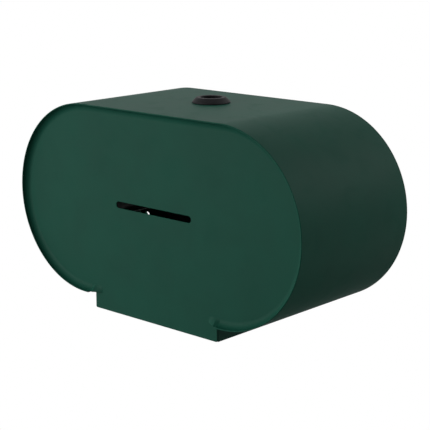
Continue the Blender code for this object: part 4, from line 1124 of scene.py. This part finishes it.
class DISPENSER_OT_axles(bpy.types.Operator):
    """Adds the axles with their nuts, clips and wavy brake springs"""
    bl_idname = "dispenser.axles"
    bl_label = "Axles"

    def execute(self, context):
        sizes = context.scene.dispenser_hubs
        radius, bore, wide = sizes.axle, sizes.axle + RUNNING_GAP, sizes.collar
        for label, side in SIDES.items():
            place = (side * LOBE_X, 0, 0)
            node = "axle_" + label
            tail, end = reach(node, 1)
            seat = RUNNING_GAP - PLATE_Y
            collar = seat + COLLAR_THICKNESS
            axle = [(0, end), (radius - CHAMFER, end), (radius, end - CHAMFER), (radius, collar),
                    (wide, collar), (wide, seat), (radius, seat), (radius, tail), (0, tail)]
            add_turned("turned_axle_" + label, node, "zinc_steel", axle, place, "front", 0.3 * MM)
            outline = hex_outline(sizes.nut_flats, place[:2])
            hole = circle_outline(bore, place[:2])
            add_slab("six_sided_nut_" + label, "axle_nut_" + label, "zinc_steel", outline, hole, STANDING,
                     0.45 * MM)
            add_ring("retaining_clip_" + label, "axle_clip_" + label, "zinc_steel", bore, place, "front")
            self.spring(sizes, label, place)
        return {"FINISHED"}

    def spring(self, sizes, label, place):
        """A wavy ring: its section's height follows the cosine of a few turns round it."""
        node = "brake_spring_" + label
        inner, outer = sizes.spring_bore, high(node).z
        half = (high(node).y - low(node).y) / 2 - sizes.spring_wave
        line, mask = rounded_line([(inner, -half), (outer, -half), (outer, half), (inner, half)], 0.12 * MM)
        turn = np.linspace(0, 2 * np.pi, 144, endpoint=False)
        points = spun(line, turn)
        points[..., 2] += sizes.spring_wave * np.cos(sizes.spring_waves * turn) - middle(node).y
        mesh = Surface().add(turned(points, place, "front"), mask, wrap_rows=True).mesh(node)
        add_piece("wave_spring_" + label, mesh, node, "spring_steel")


class DISPENSER_OT_hubs(bpy.types.Operator):
    """Adds the moulded hubs with their ribs, and the caps in their noses"""
    bl_idname = "dispenser.hubs"
    bl_label = "Hubs"

    def execute(self, context):
        sizes = context.scene.dispenser_hubs
        for label, side in SIDES.items():
            place = (side * LOBE_X, 0, 0)
            node = "roll_hub_" + label
            start, end = reach(node, 1)
            points, mask = self.moulding(sizes, start, end)
            mesh = Surface().add(turned(points, place, "front"), mask, wrap_rows=True).mesh(node)
            add_piece("moulded_hub_" + label, mesh, node, "grey_plastic")
            cap = "hub_cap_" + label
            bottom, top = reach(cap, 1)
            well = high(cap).z
            part = np.linspace(0, 1, BEND_STEPS + 1)
            dome = np.c_[well * part, end + (top - end) * (1 - part ** 2)]
            profile = np.vstack([dome, [(well, bottom), (0, bottom)]])
            add_turned("nose_cap_" + label, cap, "grey_plastic", profile, place, "front", 0.3 * MM, steps=96)
        return {"FINISHED"}

    def moulding(self, sizes, start, end):
        """The hub's rounded section carried round its axis; along the tube the radius gains the
        rib's height times a smooth step across the rib."""
        disc = start + sizes.disc_thickness
        bore = sizes.axle + RUNNING_GAP
        sleeve = bore + 2.6 * MM
        sleeve_start = start + 4.1 * MM
        web = end - 4.0 * MM
        web_back = web - 2.5 * MM
        ramp_top = end - sizes.fin_setback
        heights = np.concatenate([[end, end - 3 * MM], ramp_top - sizes.fin_ramp * np.linspace(0, 1, 4),
                                  [(ramp_top + disc) / 2, disc + 8 * MM, disc]])
        tube = sizes.nose + (sizes.tube - sizes.nose) * (end - heights) / (end - disc)
        inside, nose = sizes.tube - sizes.wall, sizes.nose - sizes.wall
        profile = np.vstack([np.c_[tube, heights], [
            (sizes.disc - 1 * MM, disc), (sizes.disc, disc - 1 * MM), (sizes.disc, start), (inside, start),
            (inside, web_back), (sleeve, web_back), (sleeve, sleeve_start), (bore, sleeve_start),
            (bore, web), (nose, web), (nose, end)]])
        line, mask = rounded_line(profile, sizes.edge)
        centres = (np.arange(sizes.fins) + 0.5) * 2 * np.pi / sizes.fins
        foot = sizes.fin_width / 2 + 0.2 * MM
        rib = foot / sizes.tube
        across = np.linspace(-rib, rib, 17)
        between = np.linspace(rib, 2 * np.pi / sizes.fins - rib, 34)[1:-1]
        turn = (centres[:, None] + np.concatenate([across, between])[None]).ravel()
        offset = np.concatenate([np.abs(across), np.full(len(between), rib)]) * sizes.tube
        flank = 0.45 * MM
        rise = np.clip((foot - offset) / flank, 0, 1)
        rise = np.tile(rise * rise * (3 - 2 * rise), sizes.fins)
        radius, height = line[:, 0], line[:, 1]
        on_tube = ((height > disc - MICRON) & (radius > sizes.nose - 0.5 * MM)
                   & (radius < sizes.tube + 0.6 * MM))
        ramp = np.clip((ramp_top - height) / sizes.fin_ramp, 0, 1)
        gain = np.where(on_tube, (sizes.tube + sizes.fin_reach - radius) * ramp, 0.0)
        return spun(np.c_[radius[:, None] + gain[:, None] * rise[None], height], turn), mask


# Studio

def soft_light(name, direction, distance, size, power):
    """A large square lamp that looks at the middle of the dispenser."""
    data = bpy.data.lights.new(name, "AREA")
    data.shape = "SQUARE"
    data.size = size
    data.energy = power
    lamp = bpy.data.objects.new(name, data)
    toward = Vector(direction).normalized()
    lamp.location = Vector((0, FRONT_Y / 2, 0)) + toward * distance
    lamp.rotation_mode = "QUATERNION"
    lamp.rotation_quaternion = toward.to_track_quat("Z", "Y")
    lamp.visible_camera = False
    bpy.context.scene.collection.objects.link(lamp)


class DISPENSER_OT_studio(bpy.types.Operator):
    """Adds the floor, the soft light, the white surroundings and the camera"""
    bl_idname = "dispenser.studio"
    bl_label = "Studio"

    def execute(self, context):
        look = context.scene.dispenser_studio
        self.surroundings(look)
        soft_light("key_softbox", (-0.462, -0.87, 0.174), 1.5, 1.1, look.key_power)
        soft_light("side_softbox", (0.61, 0.61, 0.48), 1.6, 0.9, look.side_power)
        soft_light("rear_softbox", (-0.66, 0.71, -0.25), 1.6, 0.6, look.rear_power)
        # Share of the floor's radius, and depth under its top
        section = np.array([(0.0, 0), (0.5, 0), (0.97, 0), (1.0, 4 * MM), (1.0, 12 * MM), (0.0, 12 * MM)])
        section = section * (look.floor_radius, -1) - (0, look.floor_depth)
        points = spun(section, np.linspace(0, 2 * np.pi, 96, endpoint=False))
        floor = bpy.data.objects.new("studio_floor", Surface().add(points).mesh("studio_floor"))
        floor.data.materials.append(self.paper(look))
        context.scene.collection.objects.link(floor)
        self.camera(look)
        context.scene.view_settings.view_transform = "Standard"
        return {"FINISHED"}

    def paper(self, look):
        """The floor's matt paper. It looks partly white to the camera, and wholly white at its
        rim, where it meets the white surroundings, to the camera and in reflections."""
        paper = Finish("floor_paper")
        tooth = paper.grain(1.5 * MM, 2.0, 0.5)
        tone = paper.clouded(paper.grain(40 * MM, 4.0, 0.55), look.floor_colour, 0.985, 1.0)
        camera, seen = paper.seen()
        reach = paper.node("ShaderNodeVectorMath", {"operation": "LENGTH"},
                           {0: paper.stretched((1.0, 1.0, 0.0))}).outputs["Value"]
        rim = paper.between(Value(paper, reach), 0.84 * look.floor_radius, 0.98 * look.floor_radius)
        paleness = paper.math("MAXIMUM", seen * rim, camera * look.floor_paleness)
        return paper.done(tone, 0.85 + 0.05 * (tooth - 0.5), paper.relief(tooth, 0.05 * MM),
                          {"Specular IOR Level": 0.1}, paleness)

    def surroundings(self, look):
        """White where the camera or a reflection sees it, and a soft grey light otherwise."""
        sky = Finish("studio_world", bpy.data.worlds)
        strength = sky.node("ShaderNodeMapRange", {},
                            {"Value": sky.seen()[1], "To Min": look.ambient, "To Max": 1.0})
        light = sky.node("ShaderNodeBackground", {}, {
            "Color": (1.0, 1.0, 1.0, 1.0), "Strength": strength.outputs["Result"]})
        sky.node("ShaderNodeOutputWorld", {}, {"Surface": light.outputs[0]})
        bpy.context.scene.world = sky.made

    def camera(self, look):
        """The camera at the photograph's angle, turned a little about its own axis."""
        azimuth, elevation, roll = look.azimuth, look.elevation, look.roll
        back = Vector((math.sin(azimuth) * math.cos(elevation), -math.cos(azimuth) * math.cos(elevation),
                       math.sin(elevation)))
        right = Vector((math.cos(azimuth), math.sin(azimuth), 0))
        up = back.cross(right)
        tilted = right * math.cos(roll) + up * math.sin(roll)
        raised = up * math.cos(roll) - right * math.sin(roll)
        data = bpy.data.cameras.new("camera")
        data.lens = look.lens
        data.sensor_width = 36.0
        data.shift_x = look.shift_x
        data.shift_y = look.shift_y
        camera = bpy.data.objects.new("camera", data)
        turn = Matrix((tilted, raised, back)).transposed()
        place = Vector(look.aim) + back * look.distance
        camera.matrix_world = Matrix.Translation(place) @ turn.to_4x4()
        bpy.context.scene.collection.objects.link(camera)
        bpy.context.scene.camera = camera


STEPS = [DISPENSER_OT_wrap, DISPENSER_OT_front, DISPENSER_OT_plate, DISPENSER_OT_lock, DISPENSER_OT_catch,
         DISPENSER_OT_hinges, DISPENSER_OT_rivets, DISPENSER_OT_axles, DISPENSER_OT_hubs, DISPENSER_OT_studio]


class DISPENSER_PT_panel(bpy.types.Panel):
    """Lists the settings and the steps that build the dispenser"""
    bl_idname = "DISPENSER_PT_panel"
    bl_label = "Twin Roll Dispenser"
    bl_space_type = "VIEW_3D"
    bl_region_type = "UI"
    bl_category = "Dispenser"

    def draw(self, context):
        for name, group in GROUPS.items():
            box = self.layout.box()
            settings = getattr(context.scene, name)
            for prop in group.__annotations__:
                box.prop(settings, prop)
        for step in STEPS:
            self.layout.operator(step.bl_idname)


def register():
    """Registers the settings, the steps and the panel."""
    for name, group in GROUPS.items():
        bpy.utils.register_class(group)
        setattr(bpy.types.Scene, name, bpy.props.PointerProperty(type=group))
    for item in STEPS + [DISPENSER_PT_panel]:
        bpy.utils.register_class(item)


def unregister():
    """Takes everything out again."""
    for item in [DISPENSER_PT_panel] + STEPS[::-1]:
        bpy.utils.unregister_class(item)
    for name, group in GROUPS.items():
        delattr(bpy.types.Scene, name)
        bpy.utils.unregister_class(group)


def main():
    """Builds the pieces in order."""
    register()
    for step in STEPS:
        group, name = step.bl_idname.split(".")
        getattr(getattr(bpy.ops, group), name)()


if __name__ == "__main__":
    main()
